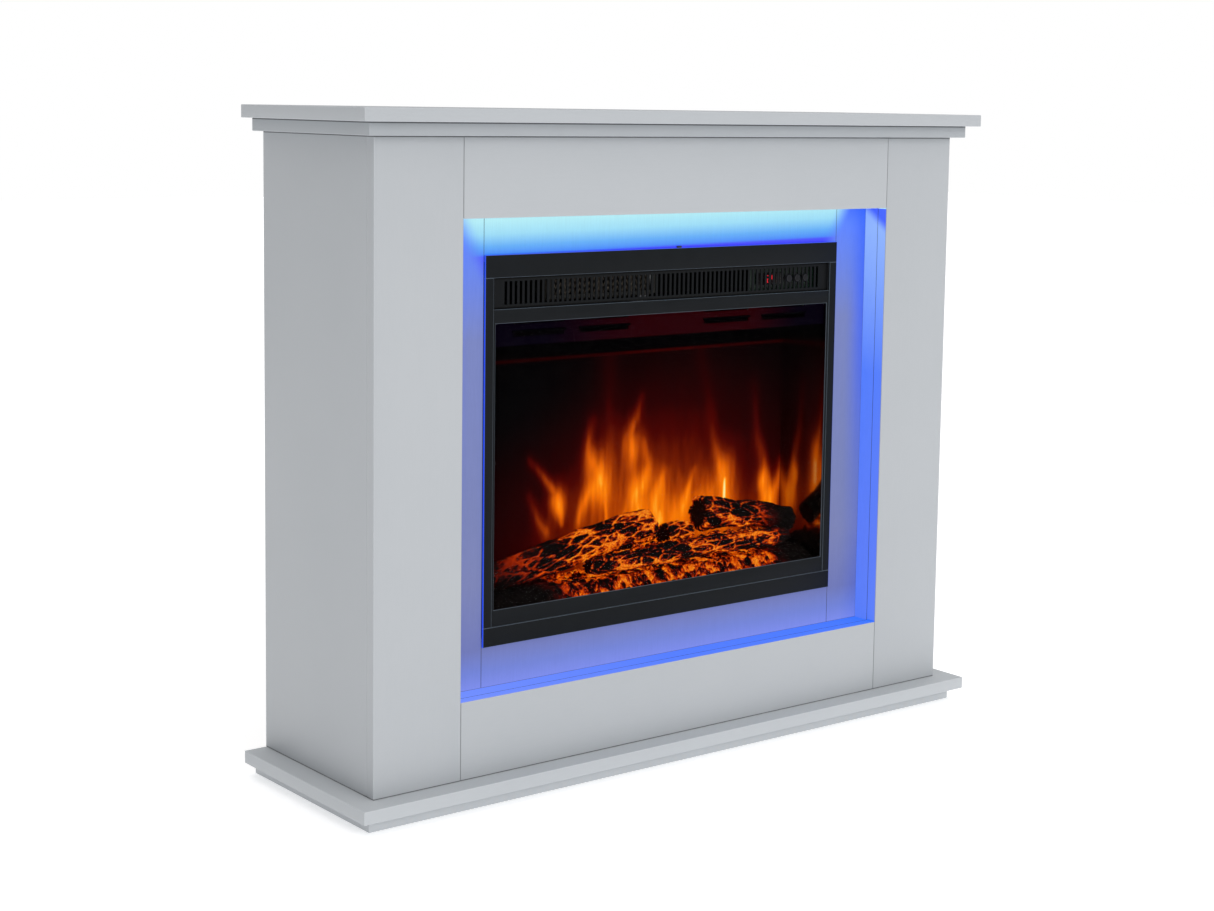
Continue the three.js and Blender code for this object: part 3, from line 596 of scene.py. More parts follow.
def flame_picture():
    """The back-lit screen: the heat painted into the mesh, read through the colours of fire."""
    shade = Shade("screen_acrylic")
    streaks = shade.noise(shade.place((1.0, 1.0, 0.14)), 130.0, detail=4.0)
    heat = shade.times(shade.attribute("warmth"), shade.span(streaks, 0.25, 0.75, 0.86, 1.10))
    return shade.finish(
        base=(0.0010, 0.0008, 0.0010),
        rough=shade.grain(streaks, 0.40, 0.55),
        specular=0.0,
        glow=shade.ramp(heat, FIRE_STOPS),
        strength=1.0,
    )


EMBER_STOPS = [
    (0.00, (0.0, 0.0, 0.0)), (0.15, (0.026, 0.0002, 0.0)), (0.32, (0.19, 0.007, 0.0)),
    (0.50, (0.52, 0.034, 0.0)), (0.68, (0.90, 0.098, 0.0)), (0.86, (1.0, 0.24, 0.002)),
    (1.00, (1.0, 0.50, 0.03)),
]


def glowing_char(name, ash):
    """Charred wood lit from inside: black crust, ash on the high spots, embers in the cracks."""
    shade = Shade(name)
    crust = shade.noise(shade.place(), 420.0, detail=5.0, roughness=0.65)
    crumbs = shade.noise(shade.place(), 1500.0, detail=3.0)
    sparkle = shade.span(crumbs, 0.34, 0.66, 0.40, 1.22)
    heat = shade.times(shade.attribute("warmth"), sparkle, clamp=True)
    tones = [(0.30, (0.0015, 0.0011, 0.0010)), (0.60, (0.0045, 0.0030, 0.0025)), (0.80, ash)]
    return shade.finish(
        base=shade.ramp(crust, tones),
        rough=shade.grain(crust, 0.72, 0.92),
        specular=0.03,
        normal=shade.bump(crust, 0.5, 0.0008),
        glow=shade.ramp(heat, EMBER_STOPS),
        strength=1.0,
    )


def baffle_steel():
    """Black sheet over the fire, with a dull red light on it from below."""
    shade = Shade("baffle_steel")
    grit = shade.noise(shade.place(), 1300.0, detail=3.0)
    x, y, z = shade.axes()
    reach = shade.times(shade.span(x, -0.20, -0.02), shade.until(x, 0.13, 0.235))
    glow = shade.times(reach, shade.span(grit, 0.2, 0.8, 0.8, 1.2))
    return shade.finish(
        base=shade.ramp(grit, [(0.3, (0.0006, 0.0006, 0.0010)), (0.7, (0.0012, 0.0012, 0.0018))]),
        rough=shade.grain(grit, 0.6, 0.75),
        specular=0.0,
        glow=shade.ramp(glow, [(0.0, (0.0008, 0.0, 0.0022)), (1.0, (0.018, 0.0001, 0.0006))]),
        strength=1.0,
    )


def circuit_board():
    shade = Shade("circuit_board")
    tracks = shade.cells(shade.place((1.0, 1.0, 1.0)), 210.0, feature="DISTANCE_TO_EDGE")
    line = shade.until(tracks, 0.05, 0.09)
    return shade.finish(
        base=shade.mix(line, (0.003, 0.014, 0.007), (0.010, 0.036, 0.018)),
        rough=shade.span(line, 0.0, 1.0, 0.38, 0.30),
        normal=shade.bump(line, 0.3, 0.0002),
    )


def red_light():
    shade = Shade("display_digits")
    grain = shade.noise(shade.place(), 2200.0, detail=2.0)
    return shade.finish(
        base=(0.05, 0.0, 0.0),
        rough=0.4,
        glow=shade.ramp(grain, [(0.3, (0.85, 0.01, 0.03)), (0.7, (1.0, 0.03, 0.05))]),
        strength=0.8,
    )


WHITE = {
    "shelf": white_board("shelf", "x", BOARD_TONES),
    "cornice": white_board("cornice", "x", SHADED_CORNICE_TONES, cornice_lines),
    "along": white_board("along", "x", BOARD_TONES, front_lines, front_wash),
    "upright": white_board("upright", "z", BOARD_TONES, front_lines, front_wash),
    "side": white_board("side", "z", BOARD_TONES, side_lines),
    "base": white_board("base", "x", BASE_TONES),
    "plinth": white_board("plinth", "x", BASE_TONES, plinth_lines),
}
RECESS = {
    "infill": recess_board("infill", "z", wash_infill, infill_face),
    "cheek": recess_board("cheek", "z", wash_cheek, cheek_face),
    "floor": recess_board("floor", "x", wash_floor, floor_face),
    "ceiling": recess_board("ceiling", "x", wash_ceiling, ceiling_face),
}
MATERIALS = {
    "raw_board": raw_board(),
    "aluminium_profile": brushed_metal("aluminium_profile", (0.62, 0.63, 0.65), (0.78, 0.79, 0.80), 0.34),
    "light_diffuser": light_diffuser(),
    "driver_plastic": coated("driver_plastic", (0.020, 0.020, 0.022), (0.034, 0.034, 0.037), 0.5, 0.4),
    "casing_steel": coated("casing_steel", (0.010, 0.010, 0.011), (0.017, 0.017, 0.019), 0.42, 0.3, 2.0),
    "casing_side": casing_side(),
    # The fascia's eased edges much lighter still: a painted highlight.
    "fascia_steel": coated("fascia_steel", *FASCIA_TONES, 0.46, 0.10, 13.0, strip_glow),
    "grille_plastic": coated("grille_plastic", *GRILLE_TONES, 0.5, 0.10, 2.0, grille_gap_shadows),
    "window_glass": window_glass(),
    "baffle_steel": baffle_steel(),
    "lip_steel": coated("lip_steel", (0.0004, 0.0004, 0.0007), (0.0008, 0.0008, 0.0012), 0.7, 0.0, 1.2),
    "screen_acrylic": flame_picture(),
    "charred_bark": glowing_char("charred_bark", (0.014, 0.009, 0.007)),
    "ember_moulding": glowing_char("ember_moulding", (0.010, 0.007, 0.006)),
    "circuit_board": circuit_board(),
    "blackened_steel": coated("blackened_steel", (0.014, 0.012, 0.010), (0.028, 0.025, 0.021), 0.45, 0.3,
                              2.6),
    "petal_foil": brushed_metal("petal_foil", (0.66, 0.66, 0.68), (0.88, 0.88, 0.90), 0.22, "z"),
    "zinc_steel": brushed_metal("zinc_steel", (0.40, 0.41, 0.43), (0.58, 0.59, 0.60), 0.40, "z"),
    "wheel_aluminium": brushed_metal("wheel_aluminium", (0.50, 0.50, 0.52), (0.68, 0.68, 0.70), 0.36),
    "mica_card": coated("mica_card", (0.030, 0.024, 0.017), (0.050, 0.041, 0.030), 0.55, 0.3),
    "display_plastic": coated("display_plastic", (0.008, 0.006, 0.007), (0.014, 0.010, 0.011), 0.25, 0.4),
    "button_plastic": coated("button_plastic", (0.006, 0.006, 0.007), (0.010, 0.010, 0.012), 0.4, 0.12),
}


# ================================================================== mesh helpers
def linked(name, data):
    """A new object in the scene."""
    made = bpy.data.objects.new(name, data)
    bpy.context.scene.collection.objects.link(made)
    return made


def middle(node):
    lowest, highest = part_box(node)
    return (lowest + highest) / 2


SLOTS = {node: piece.data.materials[0].name for node, piece in frame["nodes"].items()}


def new_piece(name, mesh, material, body="body", nodes=()):
    """A finished mesh becomes a piece of the object, on its body and with its finish."""
    piece = linked(name, mesh)
    mesh.materials.clear()
    mesh.materials.append(material)
    mesh.set_sharp_from_angle(angle=SMOOTH_BELOW)
    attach(piece, body)
    if nodes:
        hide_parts(*nodes)


def mesh_from(name, work, smooth=True):
    mesh = bpy.data.meshes.new(name)
    bmesh.ops.recalc_face_normals(work, faces=work.faces)
    work.to_mesh(mesh)
    work.free()
    mesh.polygons.foreach_set("use_smooth", [smooth] * len(mesh.polygons))
    return mesh


def sheet(columns, rows):
    """The faces of a grid of points with a wall round its rim and a back, and the rim's points.
    The wall's far points follow the grid's own, in the order of the rim."""
    wide = columns + 1
    corners = [row * wide + column for row in range(rows) for column in range(columns)]
    faces = [(corner, corner + 1, corner + wide + 1, corner + wide) for corner in corners]
    rim = list(range(wide))
    rim += [(row + 1) * wide + columns for row in range(rows)]
    rim += [rows * wide + column for column in reversed(range(columns))]
    rim += [row * wide for row in reversed(range(1, rows))]
    back = [wide * (rows + 1) + index for index in range(len(rim))]
    for index in range(len(rim)):
        after = (index + 1) % len(rim)
        faces.append((rim[after], rim[index], back[index], back[after]))
    faces.append(tuple(reversed(back)))
    return faces, rim


def refined(node, material, ease):
    """A CAD node again with its flat faces whole, its edges eased and its round sides smooth."""
    work = bmesh.new()
    work.from_mesh(frame["nodes"][node].data)
    bmesh.ops.remove_doubles(work, verts=work.verts, dist=2e-6)
    bmesh.ops.dissolve_limit(work, angle_limit=math.radians(0.8), verts=work.verts, edges=work.edges)
    edges = [edge for edge in work.edges if edge.is_manifold and edge.calc_face_angle() > EASE_ABOVE]
    edge = work.faces.layers.float.new("edge")
    eased = bmesh.ops.bevel(work, geom=edges, offset=ease, segments=EASE_STEPS, profile=0.5,
                            affect="EDGES", clamp_overlap=True)
    for face in eased["faces"]:
        face[edge] = 1.0
    name = node + "_finished"
    new_piece(name, mesh_from(name, work), material, frame["nodes"][node]["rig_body"], [node])


# ================================================================== boards of the surround
BOARD_EASE = 0.9 * MM
BOARDS = {
    "shelf": ["shelf_board"],
    "cornice": ["cornice_board"],
    "along": ["header_board", "lower_front_board"],
    "upright": ["left_leg_board", "right_leg_board"],
    "side": ["left_side_panel", "right_side_panel"],
    "base": ["base_board"],
    "plinth": ["plinth"],
}
RECESS_BOARDS = {
    "infill": ["infill_left", "infill_right", "infill_top", "infill_bottom"],
    "cheek": ["left_recess_cheek", "right_recess_cheek"],
    "floor": ["recess_floor"],
    "ceiling": ["recess_ceiling"],
}
for kind, nodes in BOARDS.items():
    for node in nodes:
        refined(node, WHITE[kind], BOARD_EASE)
for kind, nodes in RECESS_BOARDS.items():
    for node in nodes:
        refined(node, RECESS[kind], 0.5 * MM)

# How far the edges of each remaining kind of part are eased; the rest of the nodes follow below.
EASES = {
    "raw_board": 0.8 * MM,
    "aluminium_profile": 0.2 * MM,
    "light_diffuser": 1.2 * MM,
    "driver_plastic": 1.2 * MM,
    "casing_steel": 0.25 * MM,
    "fascia_steel": 0.5 * MM,
    "grille_plastic": 0.3 * MM,
    "window_glass": 0.4 * MM,
    "baffle_steel": 0.2 * MM,
    "circuit_board": 0.2 * MM,
    "zinc_steel": 0.35 * MM,
    "wheel_aluminium": 0.1 * MM,
    "petal_foil": 0.1 * MM,
    "mica_card": 0.2 * MM,
    "display_plastic": 0.6 * MM,
    "button_plastic": 0.5 * MM,
}
BUILT_BY_HAND = {"flame_screen", "ember_bed", "log_left", "log_middle", "log_right", "log_front"}
SPECIAL_FINISH = {
    "casing_left": "casing_side",
    "casing_right": "casing_side",
    "heater_guard": "blackened_steel",
    "blower_scroll": "blackened_steel",
    "blower_wheel": "blackened_steel",
}
for node, slot in SLOTS.items():
    if slot in EASES and node not in BUILT_BY_HAND:
        refined(node, MATERIALS[SPECIAL_FINISH.get(node, slot)], EASES[slot])


# ================================================================== flame screen
SCREEN_STEP = 2.0 * MM

# Each tongue of flame is a short run of (x, z, half width, heat), in millimetres from the
# object's middle and its floor.
TONGUES = [
    [(-106, 300, 3, .42), (-107, 316, 6, .66), (-112, 330, 9, .74),
     (-120, 346, 5, .45), (-158, 388, 4, .16)],
    [(-33, 292, 4, .36), (-35, 316, 5, .52), (-40, 343, 15, .76),
     (-52, 367, 12, .64), (-62, 398, 8, .34), (-57, 430, 7, .15)],
    [(-78, 300, 6, .36), (-70, 320, 7, .50), (-56, 342, 6, .46)],
    [(6, 370, 4, .24), (9, 388, 12, .56), (6, 408, 8, .42), (20, 436, 6, .22), (27, 458, 5, .12)],
    [(28, 284, 20, .50), (20, 304, 16, .64), (17, 324, 12, .70),
     (31, 342, 9, .64), (37, 364, 6, .42), (30, 392, 5, .18)],
    [(59, 286, 5, .74), (55, 304, 9, .68), (57, 324, 9, .64), (67, 350, 5, .30)],
    [(92, 292, 12, .50), (105, 304, 8, .58), (111, 322, 5, .48), (122, 350, 3, .18)],
    [(176, 290, 18, .54), (177, 312, 14, .66), (174, 334, 13, .66),
     (164, 362, 8, .36), (152, 404, 7, .12), (129, 507, 9, .05)],
    [(254, 288, 13, .46), (249, 306, 8, .56), (246, 322, 8, .64), (247, 336, 4, .22)],
    [(262, 290, 12, .46), (268, 306, 8, .46), (274, 326, 6, .36), (279, 346, 5, .18)],
    [(256, 300, 7, .30), (246, 345, 7, .24), (234, 398, 7, .16), (224, 455, 7, .07)],
    [(-30, 400, 12, .14), (-30, 505, 12, .07)],
    [(136, 298, 15, .46), (148, 314, 10, .30)],
    [(-132, 292, 6, .30), (-146, 312, 5, .24), (-160, 340, 5, .12)],
]
HOT_CORES = [
    [(57, 284, 3, .98), (58, 296, 2, .80)],
    [(175, 292, 2, .90), (176, 312, 2.6, 1.0), (178, 330, 2, .86)],
]
PICTURE_TOP = 519.0
GLOW_MIDDLE = 60.0
GLOW_WIDTH = 190.0
GLOW_NARROWS = (330.0, 490.0)
GLOW_LEFT_SHARE = 0.55
GLOW_RIGHT_SHARE = 0.85
GLOW_FLOOR = 285.0
GLOW_RISE = 75.0
PICTURE_EDGE = 1.2


def spline(points, share):
    """A point on the smooth curve through a run of points, at a share of its whole length."""
    points = np.array(points, float)
    place = share * (len(points) - 1)
    index = min(int(place), len(points) - 2)
    t = place - index
    before = points[max(index - 1, 0)]
    first, second = points[index], points[index + 1]
    after = points[min(index + 2, len(points) - 1)]
    return 0.5 * (2 * first + (second - before) * t + (2 * before - 5 * first + 4 * second - after) * t * t
                  + (3 * first - before - 3 * second + after) * t ** 3)


def ramp_down(value, start, end):
    """1 up to start, 0 from end, for whole arrays."""
    t = np.clip((value - start) / (end - start), 0, 1)
    return 1 - t * t * (3 - 2 * t)


def flame_heat(x, z):
    """How hot the flame picture is at points of the screen, from 0 to 1."""
    sway = np.array([noise.noise(Vector((a / 26, 0.0, b / 60))) for a, b in zip(x, z)])
    flicker = np.array([noise.noise(Vector((a / 7, 3.0, b / 38))) for a, b in zip(x, z)])
    x = x + 4.0 * sway
    share = np.where(x < GLOW_MIDDLE, GLOW_LEFT_SHARE, GLOW_RIGHT_SHARE)
    width = GLOW_WIDTH * (share + (1 - share) * ramp_down(z, *GLOW_NARROWS))
    spread = np.exp(-((x - GLOW_MIDDLE) / width) ** 2)
    rise = np.exp(-np.clip(z - GLOW_FLOOR, 0, None) / GLOW_RISE)
    cold = 1 - spread * (0.19 * ramp_down(z, 340, 540) + 0.34 * rise)
    for run, shape in [(run, 1.0) for run in TONGUES] + [(run, 2.0) for run in HOT_CORES]:
        warmth = np.zeros_like(x)
        steps = 10 * len(run)
        for step in range(steps + 1):
            cx, cz, wide, heat = spline(run, step / steps)
            reach = ((x - cx) / wide) ** 2 + ((z - cz) / (wide * 1.6)) ** 2
            warmth = np.maximum(warmth, heat * np.exp(-0.75 * reach ** (0.78 * shape)))
        cold *= 1 - warmth * (1 + 0.16 * flicker)
    heat = np.where(z > PICTURE_TOP, 0.0, 1 - cold)
    line = (0.08 + 0.07 * spread) * (np.abs(z - PICTURE_TOP) < PICTURE_EDGE)
    return np.maximum(heat, line)


def flame_screen():
    """A thin sheet with a fine front, which carries the picture, and a plain back."""
    lowest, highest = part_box("flame_screen")
    columns = round((highest.x - lowest.x) / SCREEN_STEP)
    rows = round((highest.z - lowest.z) / SCREEN_STEP)
    across = np.linspace(lowest.x, highest.x, columns + 1)
    up = np.linspace(lowest.z, highest.z, rows + 1)
    gx, gz = np.meshgrid(across, up)
    gx, gz = gx.ravel(), gz.ravel()
    vertices = [(a, lowest.y, b) for a, b in zip(gx, gz)]
    faces, rim = sheet(columns, rows)
    vertices += [(vertices[index][0], highest.y, vertices[index][2]) for index in rim]
    mesh = bpy.data.meshes.new("flame_picture")
    mesh.from_pydata(vertices, [], faces)
    heat = flame_heat(gx / MM, gz / MM)
    heat = np.concatenate([heat, np.zeros(len(rim))])
    mesh.attributes.new("warmth", "FLOAT", "POINT").data.foreach_set("value", heat.astype(np.float32))
    new_piece("flame_picture", mesh, MATERIALS["screen_acrylic"], nodes=["flame_screen"])


flame_screen()


# ================================================================== logs and embers
def ramped(value, start, end):
    """0 before start, 1 after end, and a smooth rise between; start may be above end."""
    t = min(max((value - start) / (end - start), 0.0), 1.0)
    return t * t * (3 - 2 * t)


EMBER_LEVEL = 0.92


def fire_reach(x, z):
    """How strongly the lamps under the moulding light a place: least at its two ends."""
    left = 0.22 + 0.78 * ramped(x, -262, -120)
    right = ramped(x, 236, 196) if z < 268 else ramped(x, 236, 168)
    under = ramped(z, 226, 250) if x < -128 else 1.0
    return left * right * under


BARK_CELL = 12.0
BARK_PLATE = 7.5
BARK_STRETCH = 0.45
LOG_STEP = 1.1
LOGS = {
    "log_left": dict(run=[(-261, -16, 244), (-205, -17, 255), (-120, -18, 270), (-50, -16, 281),
                          (16, -16, 290)],
                     radii=[19, 21, 23, 23, 24], squash=0.9, seed=3.0),
    "log_middle": dict(run=[(31, -28, 277), (60, -20, 275), (90, -12, 272)],
                       radii=[15, 15, 14], squash=0.9, seed=11.0),
    "log_right": dict(run=[(101, -17, 296), (150, -20, 291), (205, -24, 284), (260, -28, 273)],
                      radii=[24, 22, 19, 17], squash=0.95, seed=19.0),
    "log_front": dict(run=[(-114, -54, 256), (0, -53, 257), (120, -54, 259), (230, -54, 258)],
                      radii=[11, 12.5, 13, 12], squash=0.95, seed=29.0),
}


def ridges(point, size):
    """Thin lines where a noise crosses zero: 1 on a line, 0 away from it."""
    return 1 - min(abs(noise.noise(point / size)) * 7.0, 1.0)


def bark(name, run, radii, squash, seed):
    """A log: a bent tube with plates, cracks and crumbling ends, and the heat of each point."""
    length = sum((Vector(b) - Vector(a)).length for a, b in zip(run, run[1:]))
    rings = round(length / LOG_STEP)
    around = round(2 * math.pi * max(radii) / LOG_STEP)
    vertices, heats = [], []
    for ring in range(rings + 1):
        share = ring / rings
        centre = Vector(spline(run, share))
        ahead, behind = spline(run, min(share + 0.01, 1)), spline(run, max(share - 0.01, 0))
        forward = (Vector(ahead) - Vector(behind)).normalized()
        side = forward.cross(Vector((0, 0, 1))).normalized()
        up = side.cross(forward)
        radius = float(spline([(value,) for value in radii], share)[0])
        for step in range(around):
            angle = 2 * math.pi * step / around
            out = side * math.cos(angle) + up * (math.sin(angle) * squash)
            skin = Vector((share * length * BARK_STRETCH, radius * math.cos(angle), radius * math.sin(angle)))
            skin += Vector((seed * 7, seed, 0))
            knots = noise.noise(skin / 17) * 4.4 + noise.noise(skin / 8) * 2.0
            nearest = noise.voronoi(skin / BARK_CELL)[0]
            seam = max(0.0, 1 - (nearest[1] - nearest[0]) * 6.5)
            crack = ridges(skin, BARK_PLATE)
            split = ridges(skin + Vector((40, 0, 0)), BARK_PLATE * 0.5)
            crumble = noise.noise(skin / 1.7) * 0.45
            height = knots - 2.2 * seam ** 1.3 - 1.1 * crack ** 1.5 - 0.6 * split + crumble
            ragged = 1 + 0.10 * noise.noise(Vector((math.cos(angle) * 2, math.sin(angle) * 2, seed)))
            end = min(share, 1 - share) * length
            radius_here = (radius + height) * (1 - 0.12 * math.exp(-end / 2.5)) * ragged
            point = centre + out * radius_here
            vertices.append(point)
            patch = noise.noise(skin / 20 + Vector((0, 0, 5)))
            speck = noise.noise(skin / 2.4 + Vector((0, 7, 0)))
            glow = 0.68 * seam + 0.30 * crack + 0.30 * split + 0.72 * patch + 0.40 * speck - 0.02
            heats.append(EMBER_LEVEL * ramped(glow, 0.06, 0.82) * fire_reach(point.x, point.z))
    faces = []
    for ring in range(rings):
        for step in range(around):
            after = (step + 1) % around
            first, second = ring * around, (ring + 1) * around
            faces.append((first + step, first + after, second + after, second + step))
    for ring, turn in ((0, -1), (rings, 1)):
        cap_log(vertices, heats, faces, ring * around, around, turn, seed)
    show_fire(name, vertices, faces, heats, "charred_bark")


def cap_log(vertices, heats, faces, first, around, turn, seed):
    """Closes one end of a log with a split, charred cut face."""
    loop = [first + step for step in range(around)]
    centre = sum((vertices[index] for index in loop), Vector()) / around
    for share in (0.82, 0.6, 0.38, 0.18):
        start = len(vertices)
        for step, index in enumerate(loop):
            edge = vertices[first + step]
            depth = Vector((-turn * (1.6 + 1.2 * noise.noise(Vector((step / 5, share * 9, seed)))), 0, 0))
            vertices.append(centre + (edge - centre) * share + depth)
            heats.append(0.25 * max(noise.noise(Vector((step / 4, share * 5, seed + 2))), 0.0))
        ring = [start + step for step in range(around)]
        join_rings(faces, loop, ring, turn)
        loop = ring
    vertices.append(centre + Vector((-turn * 2.2, 0, 0)))
    heats.append(0.0)
    hub = len(vertices) - 1
    for step in range(around):
        pair = (loop[step], loop[(step + 1) % around], hub)
        faces.append(pair if turn > 0 else pair[::-1])


def join_rings(faces, outer, inner, turn):
    count = len(outer)
    for step in range(count):
        after = (step + 1) % count
        quad = (outer[step], outer[after], inner[after], inner[step])
        faces.append(quad if turn > 0 else quad[::-1])


def show_fire(name, vertices, faces, heats, slot):
    """Makes a glowing piece from millimetre points, in place of the CAD node of that name."""
    label = name + "_charred"
    work = bmesh.new()
    layer = work.verts.layers.float.new("warmth")
    made = [work.verts.new(Vector(point) * MM) for point in vertices]
    for vertex, heat in zip(made, heats):
        vertex[layer] = heat
    for face in faces:
        work.faces.new([made[index] for index in face])
    mesh = mesh_from(label, work)
    new_piece(label, mesh, MATERIALS[slot], nodes=[name])
    mesh.set_sharp_from_angle(angle=math.pi)


for name, settings in LOGS.items():
    bark(name, **settings)

EMBER_STEP = 1.2
EMBER_SIZE = 11.0


def ember_height(x, y):
    """The top of the ember bed: a slope up from the glass, heaped with lumps of ember."""
    slope = 219 + 14 * ramped(y, -70, -44)
    place = Vector((x / EMBER_SIZE, y / EMBER_SIZE * 1.3, 0.0))
    nearest = noise.voronoi(place)[0]
    lump = 1 - min(nearest[0] * 1.25, 1.0)
    gap = min((nearest[1] - nearest[0]) * 2.2, 1.0)
    roll = noise.noise(Vector((x / 30, y / 30, 2.0))) * 3.0
    crumble = noise.noise(Vector((x / 2.2, y / 2.2, 4.0))) * 0.7
    height = slope + roll + 5.5 * lump ** 0.7 * gap + crumble
    glow = 0.40 * (1 - gap) + 0.75 * noise.noise(Vector((x / 15, y / 15, 8.0)))
    glow += 0.50 * noise.noise(Vector((x / 2.8, y / 2.8, 6.0))) + 0.12
    return min(height, 235.9), EMBER_LEVEL * ramped(glow, 0.0, 0.85)


def ember_bed():
    lowest, highest = (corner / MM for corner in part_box("ember_bed"))
    columns = round((highest.x - lowest.x) / EMBER_STEP)
    rows = round((highest.y - lowest.y) / EMBER_STEP)
    faces, rim = sheet(columns, rows)
    vertices, heats = [], []
    for row in range(rows + 1):
        for column in range(columns + 1):
            x = lowest.x + (highest.x - lowest.x) * column / columns
            y = lowest.y + (highest.y - lowest.y) * row / rows
            height, glow = ember_height(x, y)
            vertices.append((x, y, height))
            heats.append(glow * fire_reach(x, 262) * ramped(x, -190, -120))
    vertices += [(vertices[index][0], vertices[index][1], lowest.z) for index in rim]
    heats += [0.0] * len(rim)
    show_fire("ember_bed", vertices, faces, heats, "ember_moulding")


ember_bed()


def embers_between():
    """Loose embers in the notch between the front log and the ones behind it."""
    for number, (x, y, z, size) in enumerate(LOOSE_EMBERS):
        work = bmesh.new()
        warmth = work.verts.layers.float.new("warmth")
        bmesh.ops.create_icosphere(work, subdivisions=5, radius=1.0)
        for vertex in work.verts:
            skin = vertex.co * 1.3 + Vector((number * 9, 0, 0))
            facet = noise.voronoi(skin * 1.2)[0][0]
            bulge = 1 + 0.30 * noise.noise(skin) - 0.30 * facet + 0.05 * noise.noise(skin * 9)
            glow = 0.55 * noise.noise(skin * 1.6) + 0.55 * ridges(skin, 0.9)
            glow += 0.35 * noise.noise(skin * 7) + 0.22
            vertex[warmth] = EMBER_LEVEL * ramped(glow, 0.0, 0.8) * fire_reach(x, z)
            lump = Vector((vertex.co.x * 1.35, vertex.co.y, vertex.co.z * 0.8))
            vertex.co = Vector((x, y, z)) * MM + lump * bulge * size * MM
        label = f"loose_ember_{number + 1}"
        mesh = mesh_from(label, work)
        new_piece(label, mesh, MATERIALS["ember_moulding"])
        mesh.set_sharp_from_angle(angle=math.pi)


LOOSE_EMBERS = [
    (-74, -40, 254, 10), (-48, -40, 260, 11), (-20, -39, 262, 12), (8, -40, 264, 11), (33, -41, 263, 10),
    (60, -40, 264, 12), (88, -40, 263, 11), (113, -41, 265, 12), (140, -41, 265, 11), (166, -42, 264, 12),
    (192, -42, 262, 10),
]
embers_between()


# ================================================================== small pieces
def box_mesh(name, lowest, highest, ease):
    """An upright box with eased edges."""
    work = bmesh.new()
    size = Vector(highest) - Vector(lowest)
    place = Matrix.Translation((Vector(highest) + Vector(lowest)) / 2) @ Matrix.Diagonal((*size, 1.0))
    bmesh.ops.create_cube(work, size=1.0, matrix=place)
    bmesh.ops.bevel(work, geom=work.edges[:], offset=ease, segments=EASE_STEPS, profile=0.5,
                    affect="EDGES", clamp_overlap=True)
    return mesh_from(name, work)


def joined(name, meshes, places):
    """Copies of meshes, each at its own place, as one mesh."""
    work = bmesh.new()
    for mesh, place in zip(meshes, places):
        copy = mesh.copy()
        copy.transform(place)
        work.from_mesh(copy)
        bpy.data.meshes.remove(copy)
    return mesh_from(name, work)


# Which bars of a seven-bar digit are lit: top, both upper sides, middle, both lower sides, foot.
DIGITS = {"2": "1011101", "4": "0111010"}
DIGIT_WIDTH = 5.0 * MM
DIGIT_HEIGHT = 9.0 * MM
DIGIT_GAP = 8.0 * MM
BAR = 1.1 * MM


def display_digits(text):
    front = low("display_module").y
    centre = middle("display_module")
    bars = []
    for index, digit in enumerate(text):
        x = centre.x + (index - (len(text) - 1) / 2) * DIGIT_GAP
        left, right = x - DIGIT_WIDTH / 2, x + DIGIT_WIDTH / 2
        foot, waist, head = centre.z - DIGIT_HEIGHT / 2, centre.z, centre.z + DIGIT_HEIGHT / 2
        spans = [
            (left, right, head, head), (left, left, waist, head), (right, right, waist, head),
            (left, right, waist, waist), (left, left, foot, waist), (right, right, foot, waist),
            (left, right, foot, foot),
        ]
        for on, (start, end, bottom, top) in zip(DIGITS[digit], spans):
            if on == "1":
                lowest = (start - BAR / 2, front - 0.3 * MM, bottom - BAR / 2)
                highest = (end + BAR / 2, front, top + BAR / 2)
                bars.append(box_mesh("bar", lowest, highest, 0.1 * MM))
    mesh = joined("display_digits", bars, [Matrix.Identity(4)] * len(bars))
    new_piece("display_digits", mesh, red_light())


def tube(points, radius, sides=8):
    """A round wire through points, closed at both ends."""
    work = bmesh.new()
    rings = []
    for index, point in enumerate(points):
        before, after = points[max(index - 1, 0)], points[min(index + 1, len(points) - 1)]
        forward = (Vector(after) - Vector(before)).normalized()
        side = forward.cross(Vector((0, 1, 0))).normalized()
        up = side.cross(forward)
        turns = [2 * math.pi * step / sides for step in range(sides)]
        rounds = [side * math.cos(turn) + up * math.sin(turn) for turn in turns]
        rings.append([work.verts.new(Vector(point) + out * radius) for out in rounds])
    for first, second in zip(rings, rings[1:]):
        for step in range(sides):
            after = (step + 1) % sides
            work.faces.new((first[step], first[after], second[after], second[step]))
    work.faces.new(rings[0])
    work.faces.new(list(reversed(rings[-1])))
    return work


WIRE_ROWS = (0.28, 0.50, 0.72)
WIRE_WAVE = 3.4 * MM
WIRE_PITCH = 5.0 * MM


def heater_wires():
    """Wavy resistance wire, in rows in front of the element's card."""
    lowest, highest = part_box("heater_element")
    material = brushed_metal("heater_wire", (0.10, 0.085, 0.07), (0.20, 0.17, 0.14), 0.45)
    for number, share in enumerate(WIRE_ROWS):
        z = lowest.z + (highest.z - lowest.z) * share
        length = highest.x - lowest.x - 12 * MM
        steps = round(length / (WIRE_PITCH / 8))
        points = []
        for step in range(steps + 1):
            turn = 2 * math.pi * step / 8
            x = lowest.x + 6 * MM + length * step / steps
            points.append((x, lowest.y - 1.0 * MM, z + WIRE_WAVE * math.sin(turn)))
        label = f"heater_wire_{number + 1}"
        new_piece(label, mesh_from(label, tube(points, 0.45 * MM)), material)


SCREW_RADIUS = 3.4 * MM
SCREW_HEIGHT = 1.9 * MM


